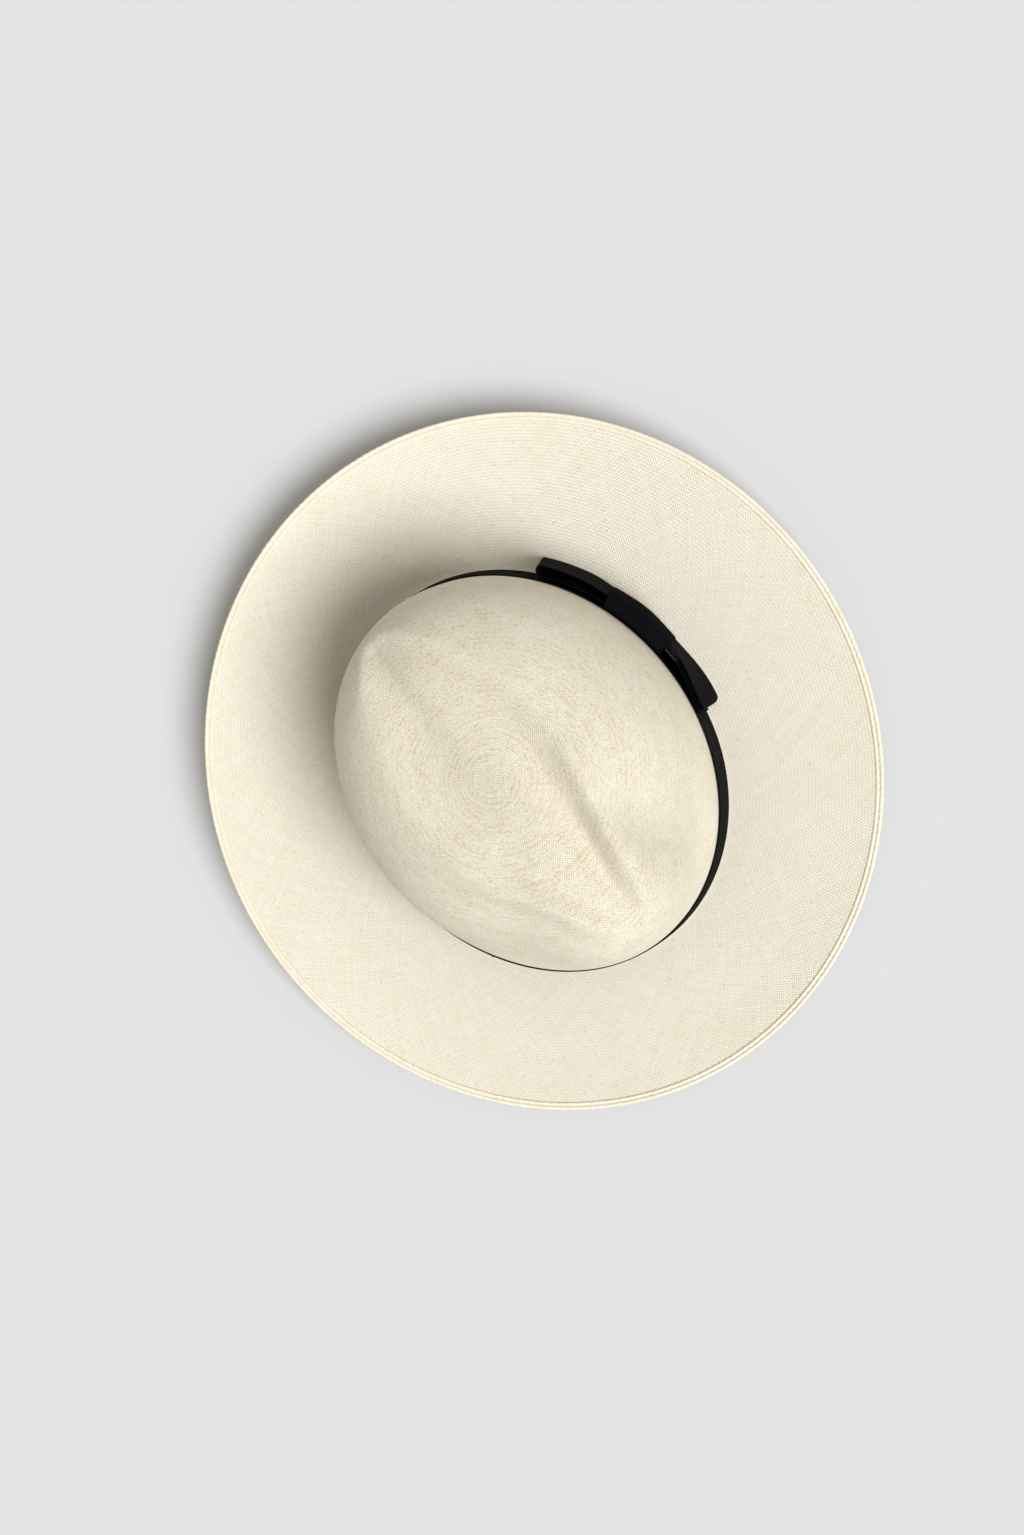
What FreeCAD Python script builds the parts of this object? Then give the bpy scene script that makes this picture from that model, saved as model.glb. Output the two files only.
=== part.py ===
import FreeCAD, Part
import math
import os

# A panama hat: a fedora woven from palm straw, with a black grosgrain band and side bow.
#
# Frame, in millimetres: the hat stands on its brim with +Z up.  The front of the hat points
# along -Y and the wearer's left, where the bow is, along +X.  The origin is under the centre
# of the brim's outline, on the surface the hat stands on.  Angles round the hat are counted
# from the front (0 degrees) towards the wearer's left (90 degrees).

doc = FreeCAD.newDocument("panama_hat")

# ---------------------------------------------------------------- driving dimensions

DIMENSIONS = [
    ("HeadLong", 100.5, "half length of the head opening, a 58 cm hat"),
    ("HeadWide", 82.3, "half width of the head opening"),
    ("CrownX", -4.4, "the crown sits off the brim's centre, to the wearer's right"),
    ("CrownY", 1.3, "and a little to the back"),
    ("BrimLong", 172.4, "half length of the brim's outline"),
    ("BrimWide", 161.5, "half width of the brim's outline"),
    ("BrimTurn", 9.6, "turn of the outline's long axis, degrees"),
    ("StrawThick", 1.1, "thickness of the woven straw"),
    ("Gap", 0.3, "clearance between layers"),
    ("CrownHigh", 112.0, "height of the open crown, before it is creased"),
    ("WallHigh", 40.0, "height of the straight part of the crown's wall"),
    ("WallLean", 0.058, "how far the wall leans in, per millimetre of height"),
    ("RakeBack", 0.05, "how far the dome leans to the back, per millimetre above the wall"),
    ("RakeRight", 0.02, "and to the wearer's right"),
    ("RoundSide", 2.55, "squareness of the crown's shoulder at the sides"),
    ("RoundFront", 3.3, "and at the front"),
    ("RoundBack", 3.45, "and at the back"),
    ("PinchLeft", 21.0, "depth of the finger pinch on the wearer's left"),
    ("PinchRight", 12.0, "and on the wearer's right"),
    ("PinchTurn", 45.0, "angle of the pinches from the front, degrees"),
    ("PinchHigh", 82.0, "height of the pinches"),
    ("BrimFront", 7.0, "rise of the brim's edge at the front"),
    ("BrimBack", 23.0, "rise of the brim's edge at the back"),
    ("BraidThick", 2.2, "thickness of the plaited edge"),
    ("BraidInset", 3.2, "distance of the plait from the brim's outline"),
    ("RibbonWidth", 35.0, "width of the grosgrain ribbon"),
    ("RibbonThick", 0.6, "thickness of the grosgrain ribbon"),
    ("RibbonLow", 1.6, "height of the band's lower edge"),
    ("BowTurn", 106.0, "angle of the middle of the bow, degrees"),
    ("BowStart", 70.3, "angle of the bow's front end, degrees"),
    ("BowEnd", 139.5, "angle of the bow's back end, degrees"),
    ("BowDeep", 7.4, "how far the bow stands out from the band"),
    ("KeeperWide", 34.0, "width of the wrap round the middle of the bow"),
    ("SweatThick", 0.9, "thickness of the leather sweatband"),
    ("SweatLow", 2.7, "height of the sweatband's lower edge"),
    ("SweatWidth", 32.0, "width of the sweatband"),
    ("ReedHigh", 1.35, "height of the reed's centre"),
    ("ReedRadius", 0.55, "radius of the reed"),
    ("TapeThick", 0.35, "thickness of the tape round the reed"),
    ("ThreadRadius", 0.25, "radius of the sewing thread"),
    ("SeamLow", 4.7, "height of the lower side of the seam along the sweatband"),
    ("SeamWidth", 0.6, "width of that seam"),
    ("SeamThick", 0.5, "thickness of that seam"),
    ("TackLong", 3.0, "length of the tacks that hold the band"),
    ("InnerBowLong", 13.0, "length of each loop of the bow inside the hat"),
    ("InnerBowHigh", 8.0, "width of that bow's ribbon"),
    ("InnerBowDeep", 2.6, "depth of that bow's loops"),
    ("InnerBowLow", 14.0, "height of that bow's lower edge"),
    ("InnerBowOff", 2.4, "distance of that bow from the sweatband's inside"),
    ("InnerKnotLong", 5.0, "length of that bow's knot"),
    ("InnerKnotDeep", 0.8, "how far the knot stands out from the loops"),
]

sheet = doc.addObject("Spreadsheet::Sheet", "Sizes")
for row, (alias, value, meaning) in enumerate(DIMENSIONS, start=1):
    sheet.set("A%d" % row, str(value))
    sheet.setAlias("A%d" % row, alias)
    sheet.set("B%d" % row, meaning)
doc.recompute()


def size(alias):
    return float(sheet.get(alias))


# Semi-axes of the nested ovals at the foot of the crown, as spreadsheet expressions.
SWEAT_OUT = "Sizes.SweatThick"
STRAW_IN = "Sizes.SweatThick + Sizes.Gap"
STRAW_OUT = STRAW_IN + " + Sizes.StrawThick"
BAND_IN = STRAW_OUT + " + Sizes.Gap"
BAND_OUT = BAND_IN + " + Sizes.RibbonThick"

STRAW_OFFSET = size("SweatThick") + size("Gap") + size("StrawThick")
BAND_OFFSET = STRAW_OFFSET + size("Gap") + size("RibbonThick")

# ---------------------------------------------------------------- the creased crown

# The teardrop crease in the top of the crown, one row per station from the back to the front.
# Places are millimetres towards the wearer's left of the crown's middle; depths are below the
# open crown.  The lines across a station are, from the middle out: the island that the crease
# leaves standing, the valley round it, the ridge, and the foot where the finger pinch starts.
#    station  valley     ridge      foot       depth of       depth
#             right left right left right left  island valleys  of foot
CREASE = [
    (-97.0, (-13, -11), (-17, -7), (-30, 10), 3.0, (3.0, 3.0), 0.0),
    (-84.0, (-14, -8), (-26, 6), (-40, 24), 9.0, (10.0, 9.0), 0.0),
    (-68.0, (-14, -3), (-37, 18), (-50, 38), 9.0, (11.0, 9.0), 0.0),
    (-35.0, (-18, 10), (-46, 32), (-60, 52), 8.5, (11.0, 9.0), 0.0),
    (-10.0, (-22, 13), (-48, 34), (-60, 52), 7.0, (8.0, 9.5), 0.0),
    (10.0, (-21, 12), (-45, 29), (-55, 46), 5.5, (6.5, 11.0), 1.5),
    (25.0, (-19, 11), (-41, 25), (-50, 41), 5.5, (6.0, 12.0), 3.0),
    (40.0, (-15, 9), (-31, 22), (-40, 36), 6.0, (6.0, 12.0), 4.5),
    (55.0, (-9, 6), (-21, 20), (-30, 32), 6.0, (6.0, 11.0), 5.0),
    (70.0, (-4, 5), (-14, 17), (-25, 30), 6.0, (5.5, 8.0), 4.0),
    (88.0, (1, 5), (-4, 12), (-18, 24), 0.0, (0.0, 0.0), 0.0),
]
CREASE_BACK = -100.0
BACK_FADE = 12.0
CREASE_FRONT = 98.0
FRONT_FADE = 14.0
FOOT_FADE = 35.0
CREASE_LOW = 0.3
CREASE_RISE = 0.5

PINCH_SPREAD = 23.0
PINCH_REACH = 38.0
PINCH_START = 25.0
PINCH_FROM_MIDDLE = 25.0
PINCH_PULL = 0.45

TOP_SHARE = 0.75


def smooth(fraction):
    """0 to 1 with level ends."""
    clamped = min(max(fraction, 0.0), 1.0)
    return clamped * clamped * (3.0 - 2.0 * clamped)


def along(station, values):
    """Value at a station, as a smooth curve through the CREASE rows."""
    places = [row[0] for row in CREASE]
    last = len(places) - 1
    station = min(max(station, places[0]), places[last])
    left = max(index for index in range(last) if places[index] <= station)
    right = left + 1

    def slope(index):
        before = max(index - 1, 0)
        after = min(index + 1, last)
        return (values[after] - values[before]) / (places[after] - places[before])

    span = places[right] - places[left]
    part = (station - places[left]) / span
    rise = values[right] - values[left]
    start = slope(left) * span
    end = slope(right) * span
    bend = (start + end - 2.0 * rise) * part + (3.0 * rise - 2.0 * start - end)
    return values[left] + start * part + bend * part * part


def crease_depth(forward, left):
    """Depth of the crease below the open crown."""
    middle = along(forward, [0.5 * (row[1][0] + row[1][1]) for row in CREASE])
    side = 1 if left > middle else 0
    valley = abs(along(forward, [row[1][side] for row in CREASE]) - middle)
    ridge = abs(along(forward, [row[2][side] for row in CREASE]) - middle)
    foot = abs(along(forward, [row[3][side] for row in CREASE]) - middle)
    island_depth = along(forward, [row[4] for row in CREASE])
    valley_depth = along(forward, [row[5][side] for row in CREASE])
    foot_depth = along(forward, [row[6] for row in CREASE])
    out = abs(left - middle)
    if out < valley:
        depth = island_depth + (valley_depth - island_depth) * smooth(out / valley)
    else:
        depth = valley_depth * (1.0 - smooth((out - valley) / max(ridge - valley, 1.0)))
        reach = smooth((out - ridge) / max(foot - ridge, 1.0))
        depth += foot_depth * reach * (1.0 - smooth((out - foot) / FOOT_FADE))
    fade_back = smooth((forward - CREASE_BACK) / BACK_FADE)
    fade_front = smooth((CREASE_FRONT - forward) / FRONT_FADE)
    return depth * fade_back * fade_front


def pinch_depth(forward, left, height):
    """How far a finger pinch pushes the front of the crown in."""
    turn = math.degrees(math.atan2(left / size("HeadWide"), forward / size("HeadLong")))
    depth = size("PinchLeft") if left > 0.0 else size("PinchRight")
    round_hat = math.exp(-((abs(turn) - size("PinchTurn")) / PINCH_SPREAD) ** 2)
    up_hat = math.exp(-((height - size("PinchHigh")) / PINCH_REACH) ** 2)
    above_band = smooth((height - size("WallHigh")) / PINCH_START)
    off_middle = smooth(abs(left) / PINCH_FROM_MIDDLE)
    return depth * round_hat * up_hat * above_band * off_middle


def foot_radius(turn):
    """Distance from the crown's axis to the outside of the straw at the foot of the wall."""
    long_half = size("HeadLong") + STRAW_OFFSET
    wide_half = size("HeadWide") + STRAW_OFFSET
    return 1.0 / math.hypot(math.cos(turn) / long_half, math.sin(turn) / wide_half)


def crown_point(turn, sweep):
    """Point on the outside of the crown: sweep 0 is the top's middle, 1 the foot of the wall."""
    front = max(math.cos(turn), 0.0) ** 2
    back = max(-math.cos(turn), 0.0) ** 2
    squareness = size("RoundSide")
    squareness += (size("RoundFront") - size("RoundSide")) * front
    squareness += (size("RoundBack") - size("RoundSide")) * back
    dome = size("CrownHigh") - size("WallHigh")
    if sweep < TOP_SHARE:
        angle = 0.5 * math.pi * (1.0 - sweep / TOP_SHARE)
        height = size("WallHigh") + dome * math.sin(angle) ** (2.0 / squareness)
        share = max(math.cos(angle), 0.0) ** (2.0 / squareness)
    else:
        height = size("WallHigh") * (1.0 - sweep) / (1.0 - TOP_SHARE)
        share = 1.0
    radius = share * (foot_radius(turn) - size("WallLean") * height)
    above_wall = max(height - size("WallHigh"), 0.0)
    forward = radius * math.cos(turn) - size("RakeBack") * above_wall
    left = radius * math.sin(turn) - size("RakeRight") * above_wall
    push = pinch_depth(forward, left, height) * smooth(2.0 * share)
    if radius > 0.0:
        forward -= PINCH_PULL * push * forward / radius
        left -= push * left / radius
    sink = crease_depth(forward, left)
    sink *= smooth((height / size("CrownHigh") - CREASE_LOW) / CREASE_RISE)
    return FreeCAD.Vector(left, -forward, height + size("StrawThick") - sink)


# ---------------------------------------------------------------- the brim


def brim_reach(turn):
    """Distance from the crown's axis to the brim's outline, an oval round the origin."""
    tilt = math.radians(size("BrimTurn"))
    long_axis = FreeCAD.Vector(-math.sin(tilt), -math.cos(tilt), 0)
    wide_axis = FreeCAD.Vector(math.cos(tilt), -math.sin(tilt), 0)
    start = FreeCAD.Vector(size("CrownX"), size("CrownY"), 0)
    way = FreeCAD.Vector(math.sin(turn), -math.cos(turn), 0)
    start_long = start.dot(long_axis) / size("BrimLong")
    start_wide = start.dot(wide_axis) / size("BrimWide")
    way_long = way.dot(long_axis) / size("BrimLong")
    way_wide = way.dot(wide_axis) / size("BrimWide")
    square = way_long ** 2 + way_wide ** 2
    middle = start_long * way_long + start_wide * way_wide
    rest = start_long ** 2 + start_wide ** 2 - 1.0
    return (-middle + math.sqrt(middle ** 2 - square * rest)) / square


LIFT_START = 0.95
LIFT_SPAN = 1.6
CURL_SHARE = 1.4
CURL_LEAST = 4.0


def brim_point(turn, share):
    """Point on the top of the brim: share 0 is the foot of the crown, 1 the outline."""
    inner = foot_radius(turn)
    width = brim_reach(turn) - inner
    lift = smooth((LIFT_START - math.cos(turn)) / LIFT_SPAN)
    rise = size("BrimFront") + (size("BrimBack") - size("BrimFront")) * lift
    curl = CURL_SHARE * rise + CURL_LEAST
    height = smooth(share) * rise + share * share * (share - 1.0) * curl
    radius = inner + share * width
    return FreeCAD.Vector(radius * math.sin(turn), -radius * math.cos(turn), size("StrawThick") + height)


# ---------------------------------------------------------------- the woven straw body

TURNS = 90
CROWN_ROWS = 30
BRIM_ROWS = 15
EDGE_SHARES = (0.975, 0.992, 1.0)
MERIDIAN_STEPS = 160


def spread(points, count):
    """The points of a polyline, spread evenly along it."""
    marks = [0.0]
    for first, second in zip(points, points[1:]):
        marks.append(marks[-1] + first.distanceToPoint(second))
    result = []
    index = 0
    for step in range(count):
        target = marks[-1] * step / (count - 1)
        while index < len(points) - 2 and marks[index + 1] < target:
            index += 1
        part = (target - marks[index]) / (marks[index + 1] - marks[index])
        result.append(points[index] + (points[index + 1] - points[index]) * part)
    return result


def outer_meridian(turn):
    """Points from the top's middle down the wall and out to the brim's outline."""
    crown = [crown_point(turn, step / MERIDIAN_STEPS) for step in range(MERIDIAN_STEPS + 1)]
    brim = [brim_point(turn, step / BRIM_ROWS) for step in range(1, BRIM_ROWS)]
    edge = [brim_point(turn, share) for share in EDGE_SHARES]
    return spread(crown, CROWN_ROWS) + brim + edge


def straw_surface():
    """Control points of the straw's skin: out over the top, round the edge, back underneath."""
    outer = [outer_meridian(2.0 * math.pi * step / TURNS) for step in range(TURNS)]
    rows = len(outer[0])
    skin = []
    for index in range(TURNS):
        here = outer[index]
        ahead = outer[(index + 1) % TURNS]
        behind = outer[index - 1]
        under = []
        for row in range(1, rows):
            down = here[min(row + 1, rows - 1)] - here[row - 1]
            normal = down.cross(ahead[row] - behind[row])
            normal.normalize()
            at_break = row == CROWN_ROWS - 1
            miter = math.sqrt(2.0) if at_break else 1.0
            under.append(here[row] - normal * (size("StrawThick") * miter))
        top_middle = here[0] - FreeCAD.Vector(0, 0, size("StrawThick"))
        skin.append(here + list(reversed(under)) + [top_middle])
    return skin


def closed_net(rows_of_points, closed_both_ways):
    """Solid bounded by a cubic surface that closes round the hat."""
    columns = len(rows_of_points)
    rows = len(rows_of_points[0])
    round_knots = list(range(columns + 1))
    if closed_both_ways:
        cross_knots = list(range(rows + 1))
        cross_mults = [1] * (rows + 1)
    else:
        cross_knots = list(range(rows - 2))
        cross_mults = [4] + [1] * (rows - 4) + [4]
    surface = Part.BSplineSurface()
    surface.buildFromPolesMultsKnots(
        rows_of_points, [1] * (columns + 1), cross_mults, round_knots, cross_knots,
        True, closed_both_ways, 3, 3)
    solid = Part.Solid(Part.Shell([surface.toShape()]))
    if solid.Volume < 0:
        solid.reverse()
    return solid


def feature(label, shape):
    """A piece whose shape is worked out in this file."""
    piece = doc.addObject("Part::Feature", label)
    piece.Shape = shape
    piece.Placement = FreeCAD.Placement(crown_axis, FreeCAD.Rotation())
    return piece


crown_axis = FreeCAD.Vector(size("CrownX"), size("CrownY"), 0)
straw_body = feature("straw_body", closed_net(straw_surface(), False))


# ---------------------------------------------------------------- the plaited edge

BRAID_SIDES = 8


def braid_ring():
    """A cord that lies on the brim just inside its outline."""
    radius = 0.5 * size("BraidThick")
    columns = []
    for step in range(TURNS):
        turn = 2.0 * math.pi * step / TURNS
        reach = brim_reach(turn) - foot_radius(turn)
        share = 1.0 - size("BraidInset") / reach
        middle = brim_point(turn, share) + FreeCAD.Vector(0, 0, radius + size("Gap"))
        way = FreeCAD.Vector(math.sin(turn), -math.cos(turn), 0)
        ring = []
        for side in range(BRAID_SIDES):
            angle = 2.0 * math.pi * side / BRAID_SIDES
            lift = FreeCAD.Vector(0, 0, radius * math.sin(angle))
            ring.append(middle + way * (radius * math.cos(angle)) + lift)
        columns.append(ring)
    return columns


brim_edge_braid = feature("brim_edge_braid", closed_net(braid_ring(), True))


# ---------------------------------------------------------------- ovals round the head


def oval(label, offset, height):
    """An upright oval round the head opening, moved out by offset, leaning with the wall."""
    ring = doc.addObject("Part::Ellipse", label)
    lean = "Sizes.WallLean * (%s)" % height
    ring.setExpression("MajorRadius", "Sizes.HeadLong + %s - %s" % (offset, lean))
    ring.setExpression("MinorRadius", "Sizes.HeadWide + %s - %s" % (offset, lean))
    ring.Placement = FreeCAD.Placement(FreeCAD.Vector(), FreeCAD.Rotation(90, 0, 0))
    ring.setExpression("Placement.Base.x", "Sizes.CrownX")
    ring.setExpression("Placement.Base.y", "Sizes.CrownY")
    ring.setExpression("Placement.Base.z", height)
    return ring


def loft(label, sections):
    """A solid through several ovals."""
    solid = doc.addObject("Part::Loft", label)
    solid.Sections = sections
    solid.Solid = True
    return solid


def upright_band(label, inside, outside, low, high):
    """A ring of ribbon or leather that stands round the head opening."""
    outer = loft(label + "_outer", [
        oval(label + "_outer_low", outside, low),
        oval(label + "_outer_high", outside, high)])
    inner = loft(label + "_inner", [
        oval(label + "_inner_low", inside, low + " - 1"),
        oval(label + "_inner_high", inside, high + " + 1")])
    ring = doc.addObject("Part::Cut", label)
    ring.Base = outer
    ring.Tool = inner
    return ring


def oval_cord(label, offset, height, radius):
    """A round cord that runs round the head opening."""
    spine = oval(label + "_path", offset, height)
    section = doc.addObject("Part::Circle", label + "_section")
    section.setExpression("Radius", radius)
    section.Placement = FreeCAD.Placement(FreeCAD.Vector(), FreeCAD.Rotation(FreeCAD.Vector(1, 0, 0), 90))
    lean = "Sizes.WallLean * (%s)" % height
    section.setExpression("Placement.Base.x", "Sizes.CrownX + Sizes.HeadWide + %s - %s" % (offset, lean))
    section.setExpression("Placement.Base.y", "Sizes.CrownY")
    section.setExpression("Placement.Base.z", height)
    cord = doc.addObject("Part::Sweep", label)
    cord.Sections = [section]
    cord.Spine = (spine, ["Edge1"])
    cord.Solid = True
    cord.Frenet = True
    return cord


RIBBON_HIGH = "Sizes.RibbonLow + Sizes.RibbonWidth"
band_ribbon = upright_band("band_ribbon", BAND_IN, BAND_OUT, "Sizes.RibbonLow", RIBBON_HIGH)
sweatband = upright_band("sweatband", "0", SWEAT_OUT, "Sizes.SweatLow", "Sizes.SweatLow + Sizes.SweatWidth")

REED_OUT = "Sizes.SweatThick / 2"
TAPE_IN = "Sizes.ReedRadius + Sizes.Gap / 3"
sweatband_reed = oval_cord("sweatband_reed", REED_OUT, "Sizes.ReedHigh", "Sizes.ReedRadius")
tape_outside = oval_cord("tape_outside", REED_OUT, "Sizes.ReedHigh", TAPE_IN + " + Sizes.TapeThick")
tape_inside = oval_cord("tape_inside", REED_OUT, "Sizes.ReedHigh", TAPE_IN)
reed_tape = doc.addObject("Part::Cut", "reed_tape")
reed_tape.Base = tape_outside
reed_tape.Tool = tape_inside

SEAM_OUT = "-Sizes.Gap / 3"
sweatband_seam = upright_band(
    "sweatband_seam", SEAM_OUT + " - Sizes.SeamThick", SEAM_OUT,
    "Sizes.SeamLow", "Sizes.SeamLow + Sizes.SeamWidth")


# ---------------------------------------------------------------- the bow on the band

PLAN_STEPS = 10


def band_point(turn, offset):
    """Point in plan, at an offset outside the band's lower edge."""
    long_half = size("HeadLong") + BAND_OFFSET
    wide_half = size("HeadWide") + BAND_OFFSET
    radius = 1.0 / math.hypot(math.cos(turn) / long_half, math.sin(turn) / wide_half)
    point = FreeCAD.Vector(radius * math.sin(turn), -radius * math.cos(turn), 0)
    normal = FreeCAD.Vector(point.x / wide_half ** 2, point.y / long_half ** 2, 0)
    normal.normalize()
    return point + normal * offset


def strip_plan(label, start, end, inner, outer):
    """The plan of a strip that follows the band between two angles and two offsets."""
    def side(offset):
        turns = [math.radians(start + (end - start) * step / PLAN_STEPS) for step in range(PLAN_STEPS + 1)]
        curve = Part.BSplineCurve()
        curve.interpolate([band_point(turn, offset) for turn in turns])
        return curve.toShape()

    near = side(inner)
    far = side(outer)
    first = Part.makeLine(near.Vertexes[0].Point, far.Vertexes[0].Point)
    second = Part.makeLine(far.Vertexes[1].Point, near.Vertexes[1].Point)
    return feature(label, Part.Face(Part.Wire([near, second, far, first])))


def strip(label, plan, low, high):
    """The upright strip on a plan."""
    solid = doc.addObject("Part::Extrusion", label)
    solid.Base = plan
    solid.DirMode = "Custom"
    solid.Dir = FreeCAD.Vector(0, 0, 1)
    solid.Solid = True
    solid.setExpression("LengthFwd", "%s - (%s)" % (high, low))
    solid.setExpression("Placement.Base.z", low)
    return solid


END_WALL = 0.5


def hollow(label, start, end, wall_ends, inner, outer, lows, highs):
    """A strip with a hollow through it; wall_ends closes its two ends, for a loop."""
    thick = size("RibbonThick")
    margin = END_WALL if wall_ends else -END_WALL
    body = strip(label + "_body", strip_plan(label + "_plan", start, end, inner, outer), lows[0], highs[0])
    void_plan = strip_plan(label + "_void_plan", start + margin, end - margin, inner + thick, outer - thick)
    void = strip(label + "_void", void_plan, lows[1], highs[1])
    piece = doc.addObject("Part::Cut", label)
    piece.Base = body
    piece.Tool = void
    return piece


LAYER = size("RibbonThick") + size("Gap")
KEEPER_HALF = math.degrees(0.5 * size("KeeperWide") / foot_radius(math.radians(size("BowTurn"))))
LOOP_IN = 3.0 * LAYER
LOOP_OUT = size("BowDeep") - LAYER
LOOP_LOW = "Sizes.RibbonLow + 1"
LOOP_HIGH = RIBBON_HIGH + " - 1"
MIDDLE_GAP = 1.5
TAIL_SHOWS = 2.5
LAP_HALF = 12.0
KEEPER_WALL = "0.6"

band_lap = strip(
    "band_lap",
    strip_plan("band_lap_plan", size("BowTurn") - LAP_HALF, size("BowTurn") + LAP_HALF,
               size("Gap"), size("Gap") + size("RibbonThick")),
    "Sizes.RibbonLow", RIBBON_HIGH)
bow_front_loop = hollow(
    "bow_front_loop", size("BowStart") + TAIL_SHOWS, size("BowTurn") - MIDDLE_GAP, True,
    LOOP_IN + LAYER, LOOP_OUT, (LOOP_LOW, LOOP_LOW + " - 1"), (LOOP_HIGH, LOOP_HIGH + " + 1"))
bow_back_loop = hollow(
    "bow_back_loop", size("BowTurn") + MIDDLE_GAP, size("BowEnd"), True,
    LOOP_IN, LOOP_OUT, (LOOP_LOW, LOOP_LOW + " - 1"), (LOOP_HIGH, LOOP_HIGH + " + 1"))
bow_tail = strip(
    "bow_tail",
    strip_plan("bow_tail_plan", size("BowStart"), size("BowTurn") - MIDDLE_GAP,
               LOOP_IN, LOOP_IN + size("RibbonThick")),
    LOOP_LOW, LOOP_HIGH)
bow_keeper = hollow(
    "bow_keeper", size("BowTurn") - KEEPER_HALF, size("BowTurn") + KEEPER_HALF, False,
    LAYER + size("Gap"), size("BowDeep"),
    ("Sizes.RibbonLow - " + KEEPER_WALL, "Sizes.RibbonLow"),
    (RIBBON_HIGH + " + " + KEEPER_WALL, RIBBON_HIGH))


# ---------------------------------------------------------------- small sewn pieces


TACK_TURNS = (10, 60, 150, 190, 240, 310)
TACK_BELOW = 0.7


def tack(turn_degrees):
    """A short stitch that lies over the band's top edge."""
    turn = math.radians(turn_degrees)
    stitch = doc.addObject("Part::Cylinder", "tack_%03d" % (turn_degrees % 360))
    stitch.setExpression("Radius", "Sizes.ThreadRadius")
    stitch.setExpression("Height", "Sizes.TackLong")
    lean = size("WallLean") * (size("RibbonLow") + size("RibbonWidth"))
    place = band_point(turn, size("Gap") + size("ThreadRadius") - lean) + crown_axis
    place.z = size("RibbonLow") + size("RibbonWidth") - TACK_BELOW * size("TackLong")
    stitch.Placement = FreeCAD.Placement(place, FreeCAD.Rotation())
    return stitch


band_tacks = doc.addObject("Part::Compound", "band_tacks")
band_tacks.Links = [tack(turn) for turn in TACK_TURNS]


def inner_bow_box(label, start, end, depth, low, high):
    """A block behind the sweatband's back, from one place across to another."""
    block = doc.addObject("Part::Box", label)
    block.setExpression("Length", "(%s) - (%s)" % (end, start))
    block.setExpression("Width", depth)
    block.setExpression("Height", "(%s) - (%s)" % (high, low))
    block.setExpression("Placement.Base.x", "Sizes.CrownX + %s" % start)
    outside = "Sizes.CrownY + Sizes.HeadLong - Sizes.InnerBowOff"
    block.setExpression("Placement.Base.y", "%s - (%s)" % (outside, depth))
    block.setExpression("Placement.Base.z", low)
    return block


INNER_LOW = "Sizes.InnerBowLow"
INNER_HIGH = "Sizes.InnerBowLow + Sizes.InnerBowHigh"
sweatband_bow = doc.addObject("Part::MultiFuse", "sweatband_bow")
sweatband_bow.Shapes = [
    inner_bow_box("inner_bow_loops", "-Sizes.InnerBowLong", "Sizes.InnerBowLong",
                  "Sizes.InnerBowDeep", INNER_LOW, INNER_HIGH),
    inner_bow_box("inner_bow_knot", "-Sizes.InnerKnotLong / 2", "Sizes.InnerKnotLong / 2",
                  "Sizes.InnerBowDeep + Sizes.InnerKnotDeep", INNER_LOW + " + 1", INNER_HIGH + " - 1"),
]

# ---------------------------------------------------------------- check and write

PIECES = [
    straw_body, brim_edge_braid, band_ribbon, band_lap, bow_back_loop, bow_front_loop, bow_tail,
    bow_keeper, band_tacks, sweatband, sweatband_reed, reed_tape, sweatband_seam, sweatband_bow,
]

doc.recompute()
for item in doc.Objects:
    if "Invalid" in item.State or "Error" in item.State:
        raise RuntimeError("%s did not compute: %s" % (item.Label, item.State))
for piece in PIECES:
    if piece.Shape.isNull() or not piece.Shape.isValid():
        raise RuntimeError("%s has no valid shape" % piece.Label)

os.makedirs("parts", exist_ok=True)
for piece in PIECES:
    piece.Shape.exportStep("parts/%s.step" % piece.Label)
    box = piece.Shape.BoundBox
    print("%-16s %9.1f mm3  x %.1f..%.1f  y %.1f..%.1f  z %.2f..%.2f" % (
        piece.Label, piece.Shape.Volume, box.XMin, box.XMax, box.YMin, box.YMax, box.ZMin, box.ZMax))
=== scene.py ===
"""A panama hat: woven straw body, plaited edge, grosgrain band with side bow, leather sweatband.

Shapes are worked out in millimetres round the crown's axis, with x towards the wearer's left,
-y to the front and z up, and are put into the frame, in metres, when a piece is added.
Angles round the hat count from the front (0) towards the wearer's left (90 degrees).
"""

import math

import bpy
import numpy as np
from mathutils import Matrix, Vector


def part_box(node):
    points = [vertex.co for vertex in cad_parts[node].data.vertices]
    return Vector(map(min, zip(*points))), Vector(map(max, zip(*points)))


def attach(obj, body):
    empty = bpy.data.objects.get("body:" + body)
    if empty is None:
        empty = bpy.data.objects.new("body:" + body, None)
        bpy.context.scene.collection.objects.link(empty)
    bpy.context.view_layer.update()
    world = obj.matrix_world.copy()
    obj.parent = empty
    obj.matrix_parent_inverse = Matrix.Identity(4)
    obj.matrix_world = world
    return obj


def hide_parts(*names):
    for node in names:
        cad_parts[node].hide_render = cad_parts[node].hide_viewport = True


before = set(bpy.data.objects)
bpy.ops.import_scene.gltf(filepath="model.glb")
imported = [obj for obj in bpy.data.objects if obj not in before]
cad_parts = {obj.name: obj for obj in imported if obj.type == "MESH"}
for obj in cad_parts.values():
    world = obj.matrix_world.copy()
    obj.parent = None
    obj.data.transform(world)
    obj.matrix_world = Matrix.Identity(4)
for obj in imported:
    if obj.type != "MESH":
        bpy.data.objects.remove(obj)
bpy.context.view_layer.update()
RANDOM = np.random.default_rng(7)
MM = 0.001


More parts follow.
